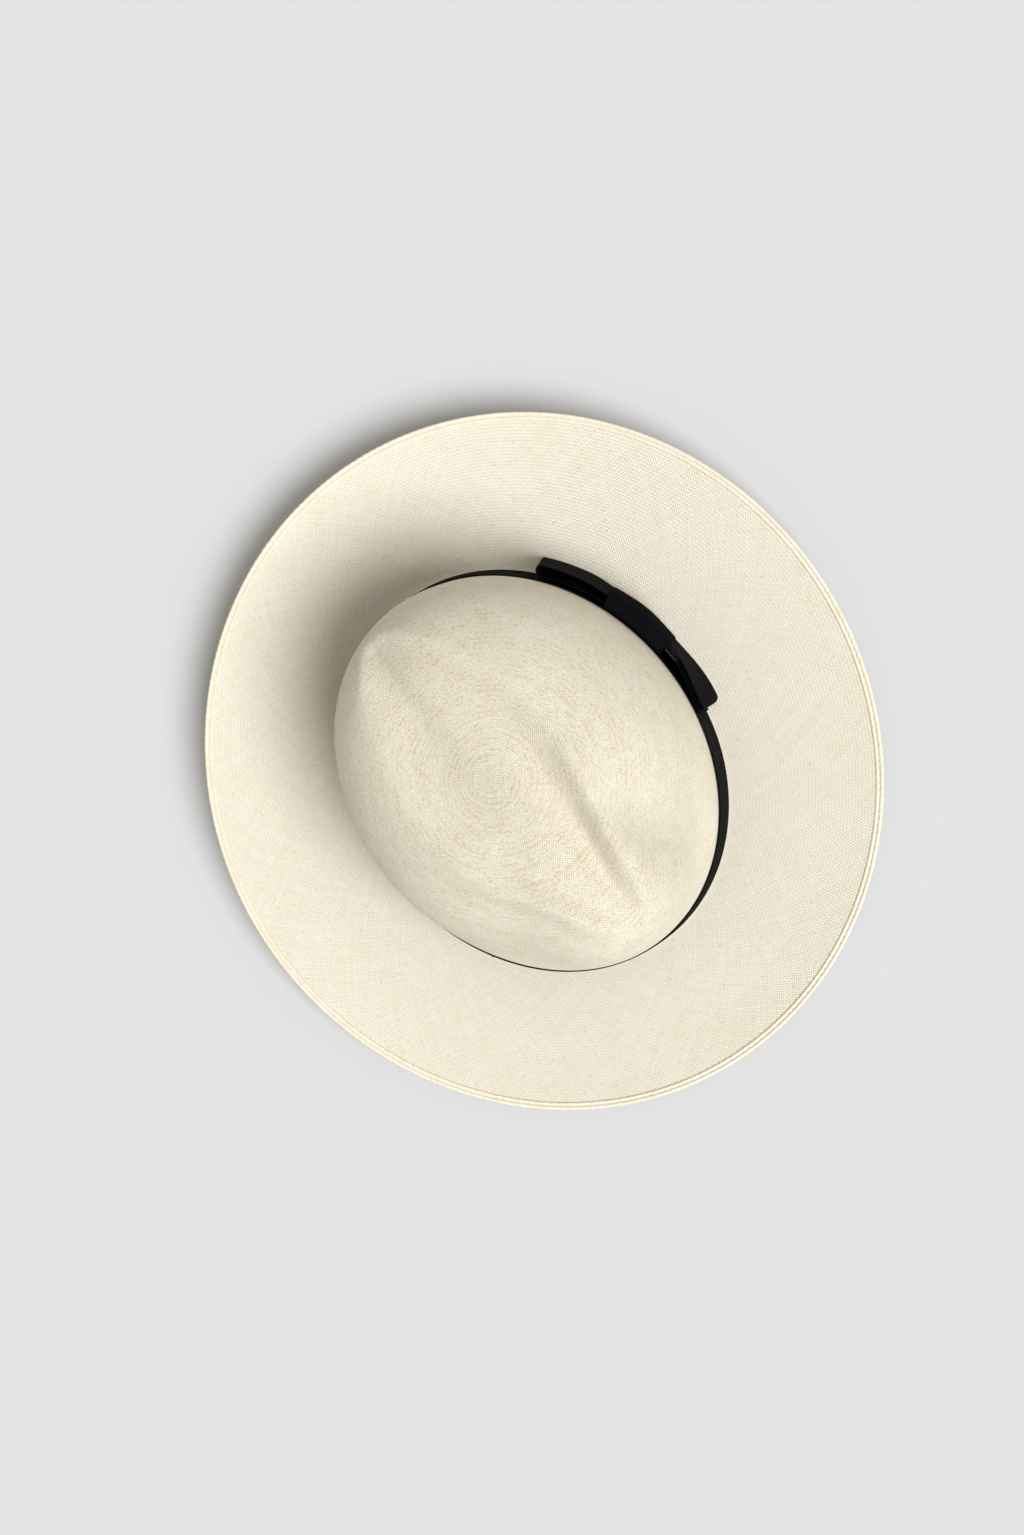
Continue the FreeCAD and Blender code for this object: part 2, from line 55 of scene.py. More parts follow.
def node_box(name):
    """Lowest and highest corner of a CAD node, in millimetres."""
    low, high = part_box(name)
    return np.array(low) / MM, np.array(high) / MM


SWEAT_BOX = node_box("sweatband")
BAND_BOX = node_box("band_ribbon")
LOOP_BOX = node_box("bow_front_loop")
KEEPER_BOX = node_box("bow_keeper")
INNER_BOW_BOX = node_box("sweatband_bow")
REED_BOX = node_box("sweatband_reed")
CROWN_AXIS = np.array([*(0.5 * (SWEAT_BOX[0] + SWEAT_BOX[1]))[:2], 0.0])

# ------------ sizes of the hat

HEAD_LONG, HEAD_WIDE = 100.5, 82.3
SWEAT_THICK, GAP, STRAW_THICK, RIBBON_THICK = 0.9, 0.3, 1.1, 0.6
STRAW_OUT = SWEAT_THICK + GAP + STRAW_THICK
BAND_OUT = STRAW_OUT + GAP + RIBBON_THICK
CROWN_HIGH, WALL_HIGH, WALL_LEAN = 112.0, 40.0, 0.058
RAKE_BACK, RAKE_RIGHT = 0.05, 0.02
ROUND_SIDE, ROUND_FRONT, ROUND_BACK = 2.55, 3.3, 3.45
TOP_SHARE = 0.75
PINCH_LEFT, PINCH_RIGHT, PINCH_TURN, PINCH_HIGH = 21.0, 12.0, 45.0, 82.0
PINCH_SPREAD, PINCH_REACH, PINCH_START, PINCH_PULL = 23.0, 38.0, 25.0, 0.45
PINCH_LOW = 31.0
BRIM_LONG, BRIM_WIDE, BRIM_TURN = 172.4, 161.5, math.radians(9.6)
BRIM_FRONT, BRIM_BACK = 7.0, 23.0
LIFT_START, LIFT_SPAN, CURL_SHARE, CURL_LEAST = 0.95, 1.6, 1.4, 4.0
EDGE_ROLL = 0.9

# The crease: station, valley, ridge and foot on the right and left, depth of the island,
# depths of the valleys on the right and left, depth of the foot.
CREASE = [
    (-97.0, (-13, -11), (-17, -7), (-30, 10), 3.0, (3.0, 3.0), 0.0),
    (-84.0, (-14, -8), (-26, 6), (-40, 24), 9.0, (10.0, 9.0), 0.0),
    (-68.0, (-14, -3), (-37, 18), (-50, 38), 9.0, (11.0, 9.0), 0.0),
    (-35.0, (-18, 10), (-46, 32), (-60, 52), 8.5, (11.0, 9.0), 0.0),
    (-10.0, (-22, 13), (-48, 34), (-60, 52), 7.0, (8.0, 9.5), 0.0),
    (10.0, (-21, 12), (-45, 29), (-55, 46), 5.5, (6.5, 11.0), 1.5),
    (25.0, (-19, 11), (-41, 25), (-50, 41), 5.5, (6.0, 12.0), 3.0),
    (40.0, (-15, 9), (-31, 22), (-40, 36), 6.0, (6.0, 12.0), 4.5),
    (55.0, (-9, 6), (-21, 20), (-30, 32), 6.0, (6.0, 11.0), 5.0),
    (70.0, (-4, 5), (-14, 17), (-25, 30), 6.0, (5.5, 8.0), 4.0),
    (88.0, (1, 5), (-4, 12), (-18, 24), 0.0, (0.0, 0.0), 0.0),
]
CREASE_BACK, BACK_FADE, CREASE_FRONT, FRONT_FADE, FOOT_FADE = -100.0, 12.0, 98.0, 14.0, 35.0
CREASE_LOW, CREASE_RISE = 0.3, 0.5

# ------------ the hat's form


def smooth(fraction):
    """0 to 1 with level ends."""
    clamped = np.clip(fraction, 0.0, 1.0)
    return clamped * clamped * (3.0 - 2.0 * clamped)


def along(station, values):
    """Value at a station, as a smooth curve through the CREASE rows."""
    places = np.array([row[0] for row in CREASE])
    values = np.array(values, float)
    last = len(places) - 1
    before = np.maximum(np.arange(last + 1) - 1, 0)
    after = np.minimum(np.arange(last + 1) + 1, last)
    slopes = (values[after] - values[before]) / (places[after] - places[before])
    station = np.clip(station, places[0], places[last])
    left = np.clip(np.searchsorted(places, station, side="right") - 1, 0, last - 1)
    span = places[left + 1] - places[left]
    part = (station - places[left]) / span
    rise = values[left + 1] - values[left]
    start, end = slopes[left] * span, slopes[left + 1] * span
    bend = (start + end - 2.0 * rise) * part + (3.0 * rise - 2.0 * start - end)
    return values[left] + start * part + bend * part * part


def crease_depth(forward, left):
    """Depth of the crease below the open crown."""
    middle = along(forward, [0.5 * (row[1][0] + row[1][1]) for row in CREASE])
    on_left = left > middle

    def own_side(column):
        right_value, left_value = (along(forward, [row[column][k] for row in CREASE]) for k in (0, 1))
        return np.where(on_left, left_value, right_value)

    valley, ridge, foot = (np.abs(own_side(column) - middle) for column in (1, 2, 3))
    island_depth = along(forward, [row[4] for row in CREASE])
    valley_depth = own_side(5)
    foot_depth = along(forward, [row[6] for row in CREASE])
    out = np.abs(left - middle)
    inside = island_depth + (valley_depth - island_depth) * smooth(out / valley)
    wall = valley_depth * (1.0 - smooth((out - valley) / np.maximum(ridge - valley, 1.0)))
    reach = smooth((out - ridge) / np.maximum(foot - ridge, 1.0))
    outside = wall + foot_depth * reach * (1.0 - smooth((out - foot) / FOOT_FADE))
    ends = smooth((forward - CREASE_BACK) / BACK_FADE) * smooth((CREASE_FRONT - forward) / FRONT_FADE)
    return np.where(out < valley, inside, outside) * ends


def pinch_depth(forward, left, height):
    """How far a finger pinch pushes the front of the crown in."""
    turn = np.degrees(np.arctan2(left / HEAD_WIDE, forward / HEAD_LONG))
    round_hat = np.exp(-(((np.abs(turn) - PINCH_TURN) / PINCH_SPREAD) ** 2))
    up_hat = np.exp(-(((height - PINCH_HIGH) / PINCH_REACH) ** 2))
    fades = smooth((height - PINCH_LOW) / PINCH_START) * smooth(np.abs(left) / PINCH_START)
    return np.where(left > 0.0, PINCH_LEFT, PINCH_RIGHT) * round_hat * up_hat * fades


def oval_radius(turn, offset):
    """Distance from the crown's axis to the oval at an offset outside the head opening."""
    return 1.0 / np.hypot(np.cos(turn) / (HEAD_LONG + offset), np.sin(turn) / (HEAD_WIDE + offset))


def crown_point(turn, sweep):
    """Outside of the crown: sweep 0 is the top's middle, 1 the foot of the wall."""
    squareness = ROUND_SIDE + (ROUND_FRONT - ROUND_SIDE) * np.maximum(np.cos(turn), 0.0) ** 2
    squareness = squareness + (ROUND_BACK - ROUND_SIDE) * np.maximum(-np.cos(turn), 0.0) ** 2
    angle = 0.5 * math.pi * (1.0 - np.clip(sweep / TOP_SHARE, 0.0, 1.0))
    over = WALL_HIGH + (CROWN_HIGH - WALL_HIGH) * np.sin(angle) ** (2.0 / squareness)
    height = np.where(sweep < TOP_SHARE, over, WALL_HIGH * (1.0 - sweep) / (1.0 - TOP_SHARE))
    share = np.where(sweep < TOP_SHARE, np.cos(angle) ** (2.0 / squareness), 1.0)
    radius = share * (oval_radius(turn, STRAW_OUT) - WALL_LEAN * height)
    above_wall = np.maximum(height - WALL_HIGH, 0.0)
    forward = radius * np.cos(turn) - RAKE_BACK * above_wall
    left = radius * np.sin(turn) - RAKE_RIGHT * above_wall
    push = pinch_depth(forward, left, height) * smooth(2.0 * share) / np.maximum(radius, 1e-9)
    forward, left = forward * (1.0 - PINCH_PULL * push), left * (1.0 - push)
    sink = crease_depth(forward, left) * smooth((height / CROWN_HIGH - CREASE_LOW) / CREASE_RISE)
    return np.stack([left, -forward, height + STRAW_THICK - sink], -1)


def brim_reach(turn):
    """Distance from the crown's axis to the brim's outline."""
    long_axis = np.array([-math.sin(BRIM_TURN), -math.cos(BRIM_TURN)])
    wide_axis = np.array([math.cos(BRIM_TURN), -math.sin(BRIM_TURN)])
    way = np.stack([np.sin(turn), -np.cos(turn)], -1)
    start_long, start_wide = CROWN_AXIS[:2] @ long_axis / BRIM_LONG, CROWN_AXIS[:2] @ wide_axis / BRIM_WIDE
    way_long, way_wide = way @ long_axis / BRIM_LONG, way @ wide_axis / BRIM_WIDE
    square = way_long**2 + way_wide**2
    middle = start_long * way_long + start_wide * way_wide
    rest = start_long**2 + start_wide**2 - 1.0
    return (-middle + np.sqrt(middle**2 - square * rest)) / square


def brim_point(turn, share):
    """Top of the brim: share 0 is the foot of the crown, 1 the outline."""
    inner = oval_radius(turn, STRAW_OUT)
    lift = smooth((LIFT_START - np.cos(turn)) / LIFT_SPAN)
    rise = BRIM_FRONT + (BRIM_BACK - BRIM_FRONT) * lift
    curl = CURL_SHARE * rise + CURL_LEAST
    height = smooth(share) * rise + share * share * (share - 1.0) * curl
    radius = inner + share * (brim_reach(turn) - inner)
    return np.stack([radius * np.sin(turn), -radius * np.cos(turn), STRAW_THICK + height], -1)


def round_hat(turn, offset, height):
    """Points at an offset outside the head opening, leaning in with the wall."""
    radius = oval_radius(turn, offset - WALL_LEAN * height)
    return np.stack(np.broadcast_arrays(radius * np.sin(turn), -radius * np.cos(turn), height), -1)


# ------------ meshes


def quads(rows, columns, close_rows=False, close_columns=False):
    """Quads over a grid of rows by columns of points, as indices."""
    last_row = rows if close_rows else rows - 1
    last_column = columns if close_columns else columns - 1
    row, column = np.meshgrid(np.arange(last_row), np.arange(last_column), indexing="ij")
    next_row, next_column = (row + 1) % rows, (column + 1) % columns
    corners = [row * columns + column, next_row * columns + column,
               next_row * columns + next_column, row * columns + next_column]
    return np.stack(corners, -1).reshape(-1, 4)


def distances(path):
    """Distance of each point of a path from its start, along the path."""
    return np.concatenate([[0.0], np.cumsum(np.linalg.norm(np.diff(path, axis=0), axis=1))])


def layout(length, across):
    """Flat coordinates of every point of a grid."""
    return np.stack(np.broadcast_arrays(length, across), -1).reshape(-1, 2)


def joined(parts):
    """Several meshes, each its points, faces and flat coordinates, as one."""
    points, faces, uvs, first = [], [], [], 0
    for own_points, own_faces, own_uv in parts:
        faces += [[first + index for index in face] for face in own_faces]
        points.append(own_points)
        uvs.append(own_uv)
        first += len(own_points)
    return np.concatenate(points), faces, np.concatenate(uvs)


def add_object(name, data):
    """An object in the scene with a mesh, light or camera."""
    thing = bpy.data.objects.new(name, data)
    bpy.context.scene.collection.objects.link(thing)
    return thing


def add_piece(name, parts, material, replaces):
    """One visible piece of the hat, from a mesh in millimetres round the crown's axis."""
    points, faces, uv = parts
    mesh = bpy.data.meshes.new(name)
    mesh.from_pydata(((points + CROWN_AXIS) * MM).tolist(), [], [[int(i) for i in f] for f in faces])
    loops = np.zeros(len(mesh.loops), np.int32)
    mesh.loops.foreach_get("vertex_index", loops)
    mesh.uv_layers.new(name="flat").data.foreach_set("uv", uv[loops].astype(np.float32).ravel())
    mesh.polygons.foreach_set("use_smooth", [True] * len(mesh.polygons))
    mesh.materials.append(material)
    mesh.update()
    piece = add_object(name, mesh)
    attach(piece, "root")
    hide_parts(*replaces)
    return piece


def unit(vectors):
    """Vectors at unit length."""
    return vectors / np.maximum(np.linalg.norm(vectors, axis=-1, keepdims=True), 1e-12)


def grid_normals(grid, closed):
    """Unit normals of a grid of points (columns along, rows across)."""
    if closed:
        ahead = np.roll(grid, -1, 0) - np.roll(grid, 1, 0)
    else:
        ahead = np.gradient(grid, axis=0)
    return unit(np.cross(ahead, np.gradient(grid, axis=1)))


def sheet_mesh(grid, half, length, across, closed=False):
    """A thin sheet whose middle surface is the grid.

    half is its half thickness; length and across are the flat coordinates of the grid.
    """
    normal = grid_normals(grid, closed) * np.broadcast_to(half, grid.shape[:2])[..., None]
    columns, rows = grid.shape[:2]
    ring = np.concatenate([grid + normal, (grid - normal)[:, ::-1]], 1)
    faces = quads(columns, 2 * rows, closed, True)
    if not closed:
        for column, flip in ((0, 1), (columns - 1, -1)):
            first = column * 2 * rows
            strip = [[first + k, first + k + 1, first + 2 * rows - 2 - k, first + 2 * rows - 1 - k][::flip]
                     for k in range(rows - 1)]
            faces = np.concatenate([faces, strip])
    return ring.reshape(-1, 3), faces, layout(length, np.concatenate([across, across[::-1]]))


# ------------ ribbon

RIB_PITCH, RIB_DEEP, RIB_ROUND = 0.95, 0.16, 0.8
SELVEDGE_THIN, SELVEDGE_WIDE = 0.45, 0.7
RIBBON_ROWS, EDGE_ROW, MOST_EDGE = 9, 0.8, 0.15


def ribs(grid, closed):
    """For each column of a grid, the height of the cross ribs, 0 to 1, and its place along."""
    middle = grid[:, grid.shape[1] // 2]
    steps = np.linalg.norm(np.diff(middle, axis=0, append=middle[:1] if closed else middle[-1:]), axis=1)
    length = steps.sum()
    place = np.concatenate([[0.0], np.cumsum(steps)[:-1]])
    count = max(round(length / RIB_PITCH), 1)
    return np.abs(np.sin(math.pi * count * place / length)) ** RIB_ROUND, place


def ribbon_piece(name, grid, width, material, replaces, closed=False):
    """A ribbed grosgrain ribbon whose middle surface is the grid."""
    height, place = ribs(grid, closed)
    across = np.linspace(0.0, 1.0, grid.shape[1])
    from_edge = np.minimum(across, 1.0 - across) * width
    selvedge = 1.0 - SELVEDGE_THIN * np.exp(-(from_edge / SELVEDGE_WIDE) ** 2)
    half = (0.5 * RIBBON_THICK - RIB_DEEP * (1.0 - height))[:, None] * selvedge
    parts = sheet_mesh(grid, half, place[:, None], across * width, closed)
    return add_piece(name, parts, material, replaces)


def across_ribbon(width, rows=RIBBON_ROWS):
    """Places across a ribbon, 0 to 1, closer together at its selvedges."""
    edge = min(EDGE_ROW / width, MOST_EDGE)
    inner = np.linspace(edge, 1.0 - edge, rows - 4)
    return np.concatenate([[0.0, edge / 2], inner, [1.0 - edge / 2, 1.0]])


def all_round(count):
    """Angles evenly round the hat, in a column."""
    return np.linspace(0.0, 2.0 * math.pi, count, endpoint=False)[:, None]


def upright(box):
    """Foot and width of a ribbon that stands upright in a node's box."""
    return box[0][2], box[1][2] - box[0][2]


def wave(turn, size, crests, start):
    """A wave with some crests round the hat."""
    return size * np.sin(crests * turn + start)


# ------------ procedural materials


class Nodes:
    """A material's node tree, written as expressions."""

    def __init__(self, name):
        self.material = bpy.data.materials.new(name)
        self.material.use_nodes = True
        self.tree = self.material.node_tree
        self.shader = self.tree.nodes["Principled BSDF"]

    def put(self, socket, value):
        """Links a socket's value, or sets it where it is a constant."""
        if isinstance(value, bpy.types.NodeSocket):
            self.tree.links.new(value, socket)
        else:
            socket.default_value = value

    def math(self, operation, first, second=0.0, third=0.0):
        node = self.tree.nodes.new("ShaderNodeMath")
        node.operation = operation
        for socket, value in zip(node.inputs, (first, second, third)):
            self.put(socket, value)
        return node.outputs[0]

    def add(self, first, second):
        return self.math("ADD", first, second)

    def less(self, first, second):
        return self.math("SUBTRACT", first, second)

    def times(self, first, second):
        return self.math("MULTIPLY", first, second)

    def ramp(self, value, low, high):
        """0 at low, 1 at high, smooth between and level beyond; low may be the larger."""
        node = self.tree.nodes.new("ShaderNodeMapRange")
        node.interpolation_type = "SMOOTHSTEP"
        self.put(node.inputs["Value"], value)
        node.inputs["From Min"].default_value = low
        node.inputs["From Max"].default_value = high
        return node.outputs["Result"]

    def mix(self, factor, first, second):
        """Colour between two colours."""
        node = self.tree.nodes.new("ShaderNodeMix")
        node.data_type = "RGBA"
        self.put(node.inputs["Factor"], factor)
        for name, value in (("A", first), ("B", second)):
            socket = [s for s in node.inputs if s.name == name and s.type == "RGBA"][0]
            self.put(socket, (*value, 1.0) if isinstance(value, tuple) else value)
        return [s for s in node.outputs if s.type == "RGBA"][0]

    def stain(self, colour, mask, share, tint):
        """The colour with a share of a tint where the mask is 1."""
        return self.mix(self.times(mask, share), colour, tint)

    def scaled(self, value, factor, base):
        return self.math("MULTIPLY_ADD", value, factor, base)

    def flat(self):
        """The two coordinates of the piece's flat layout."""
        node = self.tree.nodes.new("ShaderNodeUVMap")
        node.uv_map = "flat"
        split = self.tree.nodes.new("ShaderNodeSeparateXYZ")
        self.tree.links.new(node.outputs[0], split.inputs[0])
        return split.outputs[0], split.outputs[1]

    def place(self):
        node = self.tree.nodes.new("ShaderNodeTexCoord")
        return node.outputs["Object"]

    def vector(self, first, second, third=0.0):
        node = self.tree.nodes.new("ShaderNodeCombineXYZ")
        for socket, value in zip(node.inputs, (first, second, third)):
            self.put(socket, value)
        return node.outputs[0]

    def noise(self, vector, scale, detail=3.0, rough=0.5):
        node = self.tree.nodes.new("ShaderNodeTexNoise")
        self.put(node.inputs["Vector"], vector)
        node.inputs["Scale"].default_value = scale
        node.inputs["Detail"].default_value = detail
        node.inputs["Roughness"].default_value = rough
        return node.outputs[0]

    def random(self, vector):
        node = self.tree.nodes.new("ShaderNodeTexWhiteNoise")
        self.put(node.inputs["Vector"], vector)
        return node.outputs["Value"]

    def finish(self, colour, roughness, height, depth, strength=1.0, specular=0.3, sheen=0.0):
        """Connects the surface; height is in units of depth, which is in metres."""
        shader = self.shader.inputs
        self.put(shader["Base Color"], colour)
        self.put(shader["Roughness"], roughness)
        shader["Specular IOR Level"].default_value = specular
        shader["Sheen Weight"].default_value = sheen
        shader["Sheen Roughness"].default_value = 0.4
        bump = self.tree.nodes.new("ShaderNodeBump")
        bump.inputs["Strength"].default_value = strength
        bump.inputs["Distance"].default_value = depth
        self.put(bump.inputs["Height"], height)
        self.tree.links.new(bump.outputs[0], shader["Normal"])
        return self.material


# ------------ the weave

# The weave is counted in rows out from its middle and in cells round the hat.
CROWN_PITCH = 1.25
FOOT_ROW, BRIM_WEAVE = 138.0, 48.0
STEPS_PER_DOUBLE, WALL_CELLS = 4.0, 452.0
ZONE_ROWS, CELLS_PER_ROW = 8.0, 4.75
STRAW_FALL, STRAW_ROUND = 0.62, 0.9
HOLE_START, HOLE_FULL, HOLE_DEEP = 0.62, 0.95, 0.8
TOP_ROW, MIDDLE_FULL, MIDDLE_END = 70.0, 8.0, 40.0
KNOT_SCALE, KNOT_SWAY, PATCH_SCALE, RING_SCALE = 0.9, 2.2, 0.16, 0.45

# Colours are linear red, green and blue.
STRAW_TONES = (0.858, 0.796, 0.638), (0.920, 0.871, 0.750)
FLECK, STRAW_SIDE_SHADE = (0.66, 0.56, 0.36), (0.56, 0.49, 0.33)
GAP_SHADE, TOP_SIDE_SHADE = (0.56, 0.46, 0.28), (0.46, 0.37, 0.21)
CLOUD, RING, GROOVE_SHADE, HOLE_SHADE = (0.80, 0.74, 0.57), (0.76, 0.69, 0.52), (0.55, 0.47, 0.31), (0.13, 0.10, 0.06)


def cells_round(n, row):
    """Number of cells round the hat: grows in steps on the top, in zones of rows on the brim."""
    doublings = n.times(n.math("LOGARITHM", row, 2.0), STEPS_PER_DOUBLE)
    step = n.times(n.math("FLOOR", doublings), 1.0 / STEPS_PER_DOUBLE)
    crown_cells = n.math("MINIMUM", n.times(n.math("POWER", 2.0, step), 2.0 * math.pi), WALL_CELLS)
    zone = n.math("MAXIMUM", n.math("FLOOR", n.times(n.less(row, FOOT_ROW), 1.0 / ZONE_ROWS)), 0.0)
    return n.math("ROUND", n.add(crown_cells, n.times(zone, ZONE_ROWS * CELLS_PER_ROW)))


def gap_shade(n, row, cell):
    """How open the weave of the top is: by rings, by knots and in loose pairs of rows."""
    ring_tone = n.random(n.vector(n.math("FLOOR", row), 7.0))
    knots = n.noise(n.vector(n.times(cell, KNOT_SCALE), n.times(row, KNOT_SCALE)), 1.0, 1.0)
    gaps = n.add(n.times(n.ramp(ring_tone, 0.2, 1.0), 0.08), n.times(n.ramp(knots, 0.48, 0.68), 0.32))
    pair = n.math("PINGPONG", n.add(row, n.times(knots, KNOT_SWAY)), 1.0)
    patch = n.noise(n.vector(n.times(cell, PATCH_SCALE), n.times(row, PATCH_SCALE), 4.0), 1.0, 2.0)
    loose = n.add(n.ramp(patch, 0.42, 0.62), n.times(n.ramp(row, MIDDLE_END, MIDDLE_FULL), 0.25))
    return n.add(gaps, n.times(n.times(n.ramp(pair, 0.75, 0.1), loose), 0.26))


def straw_material():
    """Palm straw in a diagonal plain weave that grows in rings from the top's middle, with painted shade
    along the straws' sides, in the gaps, between the rows and in the pinholes.
    """
    n = Nodes("woven_straw")
    across, forward = n.flat()
    row = n.math("SQRT", n.add(n.times(across, across), n.times(forward, forward)))
    turn = n.times(n.math("ARCTAN2", across, forward), 0.5 / math.pi)
    cells = cells_round(n, row)
    cell = n.times(turn, cells)
    first, second = n.add(cell, row), n.less(cell, row)
    first_cell, second_cell = n.math("FLOOR", first), n.math("FLOOR", second)
    over = n.math("PINGPONG", n.add(first_cell, second_cell), 1.0)

    def from_middle(value):
        """Square of the distance from a cell's middle, 1 at its edge."""
        centred = n.scaled(n.math("FRACT", value), 2.0, -1.0)
        return n.times(centred, centred)

    def upper(zero, one):
        """The value that belongs to the straw on top."""
        return n.add(zero, n.times(over, n.less(one, zero)))

    one_way, other_way = from_middle(first), from_middle(second)
    side, end = upper(one_way, other_way), upper(other_way, one_way)
    body = n.less(1.0, n.times(n.times(side, side), n.times(side, STRAW_ROUND)))
    height = n.times(n.less(1.0, n.times(end, STRAW_FALL)), body)
    hole = n.times(n.ramp(one_way, HOLE_START, HOLE_FULL), n.ramp(other_way, HOLE_START, HOLE_FULL))
    tone = n.random(n.vector(upper(first_cell, n.add(second_cell, 900.0)), cells))
    fleck = n.random(n.vector(first_cell, second_cell, 5.0))
    cloud = n.noise(n.place(), 38.0, 2.0)
    rings = n.noise(n.vector(n.times(row, RING_SCALE), 0.0), 1.0, 1.0)
    groove = n.math("PINGPONG", n.add(row, 0.25), 0.5)
    on_top = n.ramp(row, FOOT_ROW, TOP_ROW)
    colour = n.mix(tone, *STRAW_TONES)
    colour = n.stain(colour, n.ramp(fleck, 0.985, 0.998), 0.4, FLECK)
    # Painted shade along the sides of each straw, where it dips under its neighbours.
    colour = n.stain(colour, n.ramp(side, 0.55, 1.0), 0.38, STRAW_SIDE_SHADE)
    colour = n.stain(colour, on_top, gap_shade(n, row, cell), GAP_SHADE)
    # More painted shade along the straws' sides on the top of the crown.
    colour = n.stain(colour, n.times(on_top, n.ramp(side, 0.40, 0.85)), 0.3, TOP_SIDE_SHADE)
    colour = n.stain(colour, n.ramp(cloud, 0.45, 0.8), 0.12, CLOUD)
    colour = n.stain(colour, n.ramp(rings, 0.50, 0.85), 0.20, RING)
    # Painted shade in the groove between rows of straw.
    colour = n.stain(colour, n.ramp(groove, 0.28, 0.0), 0.22, GROOVE_SHADE)
    # Painted shade in the pinholes between the straws; the bump below also sinks them.
    colour = n.stain(colour, hole, 0.85, HOLE_SHADE)
    deep = n.less(height, n.times(hole, HOLE_DEEP))
    return n.finish(colour, n.scaled(tone, 0.16, 0.52), deep, depth=0.00032, strength=0.9, specular=0.3)


# ------------ the other materials


def plait_material():
    """The plaited edge: a straw that wraps round and round, slightly darker than the body."""
    n = Nodes("plaited_straw")
    length, around = n.flat()
    wraps = n.add(n.times(length, 0.62), around)
    fibre = n.math("SINE", n.times(wraps, 4.0 * math.pi))
    tone = n.random(n.vector(n.math("FLOOR", wraps), 2.0))
    wide = n.noise(n.place(), 45.0, 2.0)
    colour = n.mix(tone, (0.80, 0.745, 0.59), (0.86, 0.815, 0.68))
    colour = n.stain(colour, n.ramp(wide, 0.4, 0.75), 0.3, (0.72, 0.64, 0.47))
    return n.finish(colour, n.scaled(tone, 0.15, 0.55), fibre, depth=0.00006, strength=0.45, specular=0.25)


def cloth_material(name, dark, light, thread, sheen, rough, depth=0.00005, specular=0.25):
    """A woven ribbon or tape; thread is the distance between its threads."""
    n = Nodes(name)
    length, width = n.flat()
    warp = n.math("SINE", n.times(width, 2.0 * math.pi / thread))
    weft = n.math("SINE", n.times(length, 2.0 * math.pi / (1.6 * thread)))
    fibre = n.noise(n.vector(length, width), 2.4, 4.0, 0.7)
    wear = n.noise(n.place(), 60.0, 3.0)
    colour = n.stain(n.mix(fibre, dark, light), n.ramp(wear, 0.5, 0.8), 0.35, light)
    height = n.add(n.times(warp, weft), n.times(fibre, 1.5))
    return n.finish(colour, n.scaled(wear, 0.2, rough - 0.1), height, depth, 0.7, specular, sheen)


def leather_material():
    """Tan sweatband leather: grain, pores, darker towards its foot."""
    n = Nodes("sweat_leather")
    length, width = n.flat()
    grain_at = n.vector(length, width)
    cells = n.tree.nodes.new("ShaderNodeTexVoronoi")
    n.put(cells.inputs["Vector"], grain_at)
    cells.inputs["Scale"].default_value = 1.3
    fine = n.noise(grain_at, 4.0, 5.0, 0.65)
    blotch = n.noise(n.place(), 24.0, 3.0)
    colour = n.mix(blotch, (0.50, 0.33, 0.18), (0.60, 0.42, 0.25))
    colour = n.stain(colour, n.ramp(fine, 0.5, 0.85), 0.4, (0.40, 0.25, 0.13))
    # Darker towards the foot of the band.
    colour = n.stain(colour, n.ramp(width, 9.0, 1.0), 0.25, (0.36, 0.23, 0.12))
    height = n.add(n.times(cells.outputs["Distance"], 0.8), fine)
    return n.finish(colour, n.scaled(fine, 0.25, 0.38), height, depth=0.00012, strength=0.5, specular=0.4)


def thread_material(name, dark, light):
    """Twisted sewing thread."""
    n = Nodes(name)
    length, around = n.flat()
    twist = n.math("SINE", n.times(n.add(n.times(length, 2.2), around), 2.0 * math.pi))
    fuzz = n.noise(n.vector(length, around), 6.0, 2.0)
    return n.finish(n.mix(fuzz, dark, light), n.scaled(fuzz, 0.2, 0.5), twist, depth=0.00008, strength=0.7)


def cord_material():
    """The plain cord inside the tape."""
    n = Nodes("reed_cord")
    spot = n.noise(n.place(), 400.0, 3.0)
    colour = n.mix(spot, (0.70, 0.62, 0.44), (0.80, 0.73, 0.56))
    return n.finish(colour, n.scaled(spot, 0.2, 0.4), spot, depth=0.0001, strength=0.5)


def floor_material():
    """Matt pale studio paper."""
    n = Nodes("studio_paper")
    grain = n.noise(n.place(), 300.0, 2.0)
    colour = n.mix(grain, (0.612, 0.618, 0.622), (0.626, 0.632, 0.636))
    return n.finish(colour, 0.9, grain, depth=0.0001, strength=0.2, specular=0.15)


# ------------ the straw body

TURNS, CROWN_ROWS, BRIM_ROWS, FINE = 400, 100, 46, 600
WEAVE_MIDDLE, MIDDLE_REACH = np.array([-5.0, -6.0]), 80.0
SOFTEN_ROWS, SOFTEN_PASSES = 3, 4
CROWN_CORE, SIDE_ROW = np.array([0.0, 0.0, 60.0]), 40
FOOT_CLEAR, FOOT_REACH = 0.02, 9.0


def even_rows(points, count):
    """Points of each meridian spread evenly along it, and the meridian's length."""
    steps = np.linalg.norm(np.diff(points, axis=1), axis=2)
    marks = np.concatenate([np.zeros((len(points), 1)), np.cumsum(steps, 1)], 1)
    result = np.empty((len(points), count, 3))
    for index, (line, mark) in enumerate(zip(points, marks)):
        at = np.linspace(0.0, mark[-1], count)
        for axis in range(3):
            result[index, :, axis] = np.interp(at, mark, line[:, axis])
    return result, marks[:, -1]


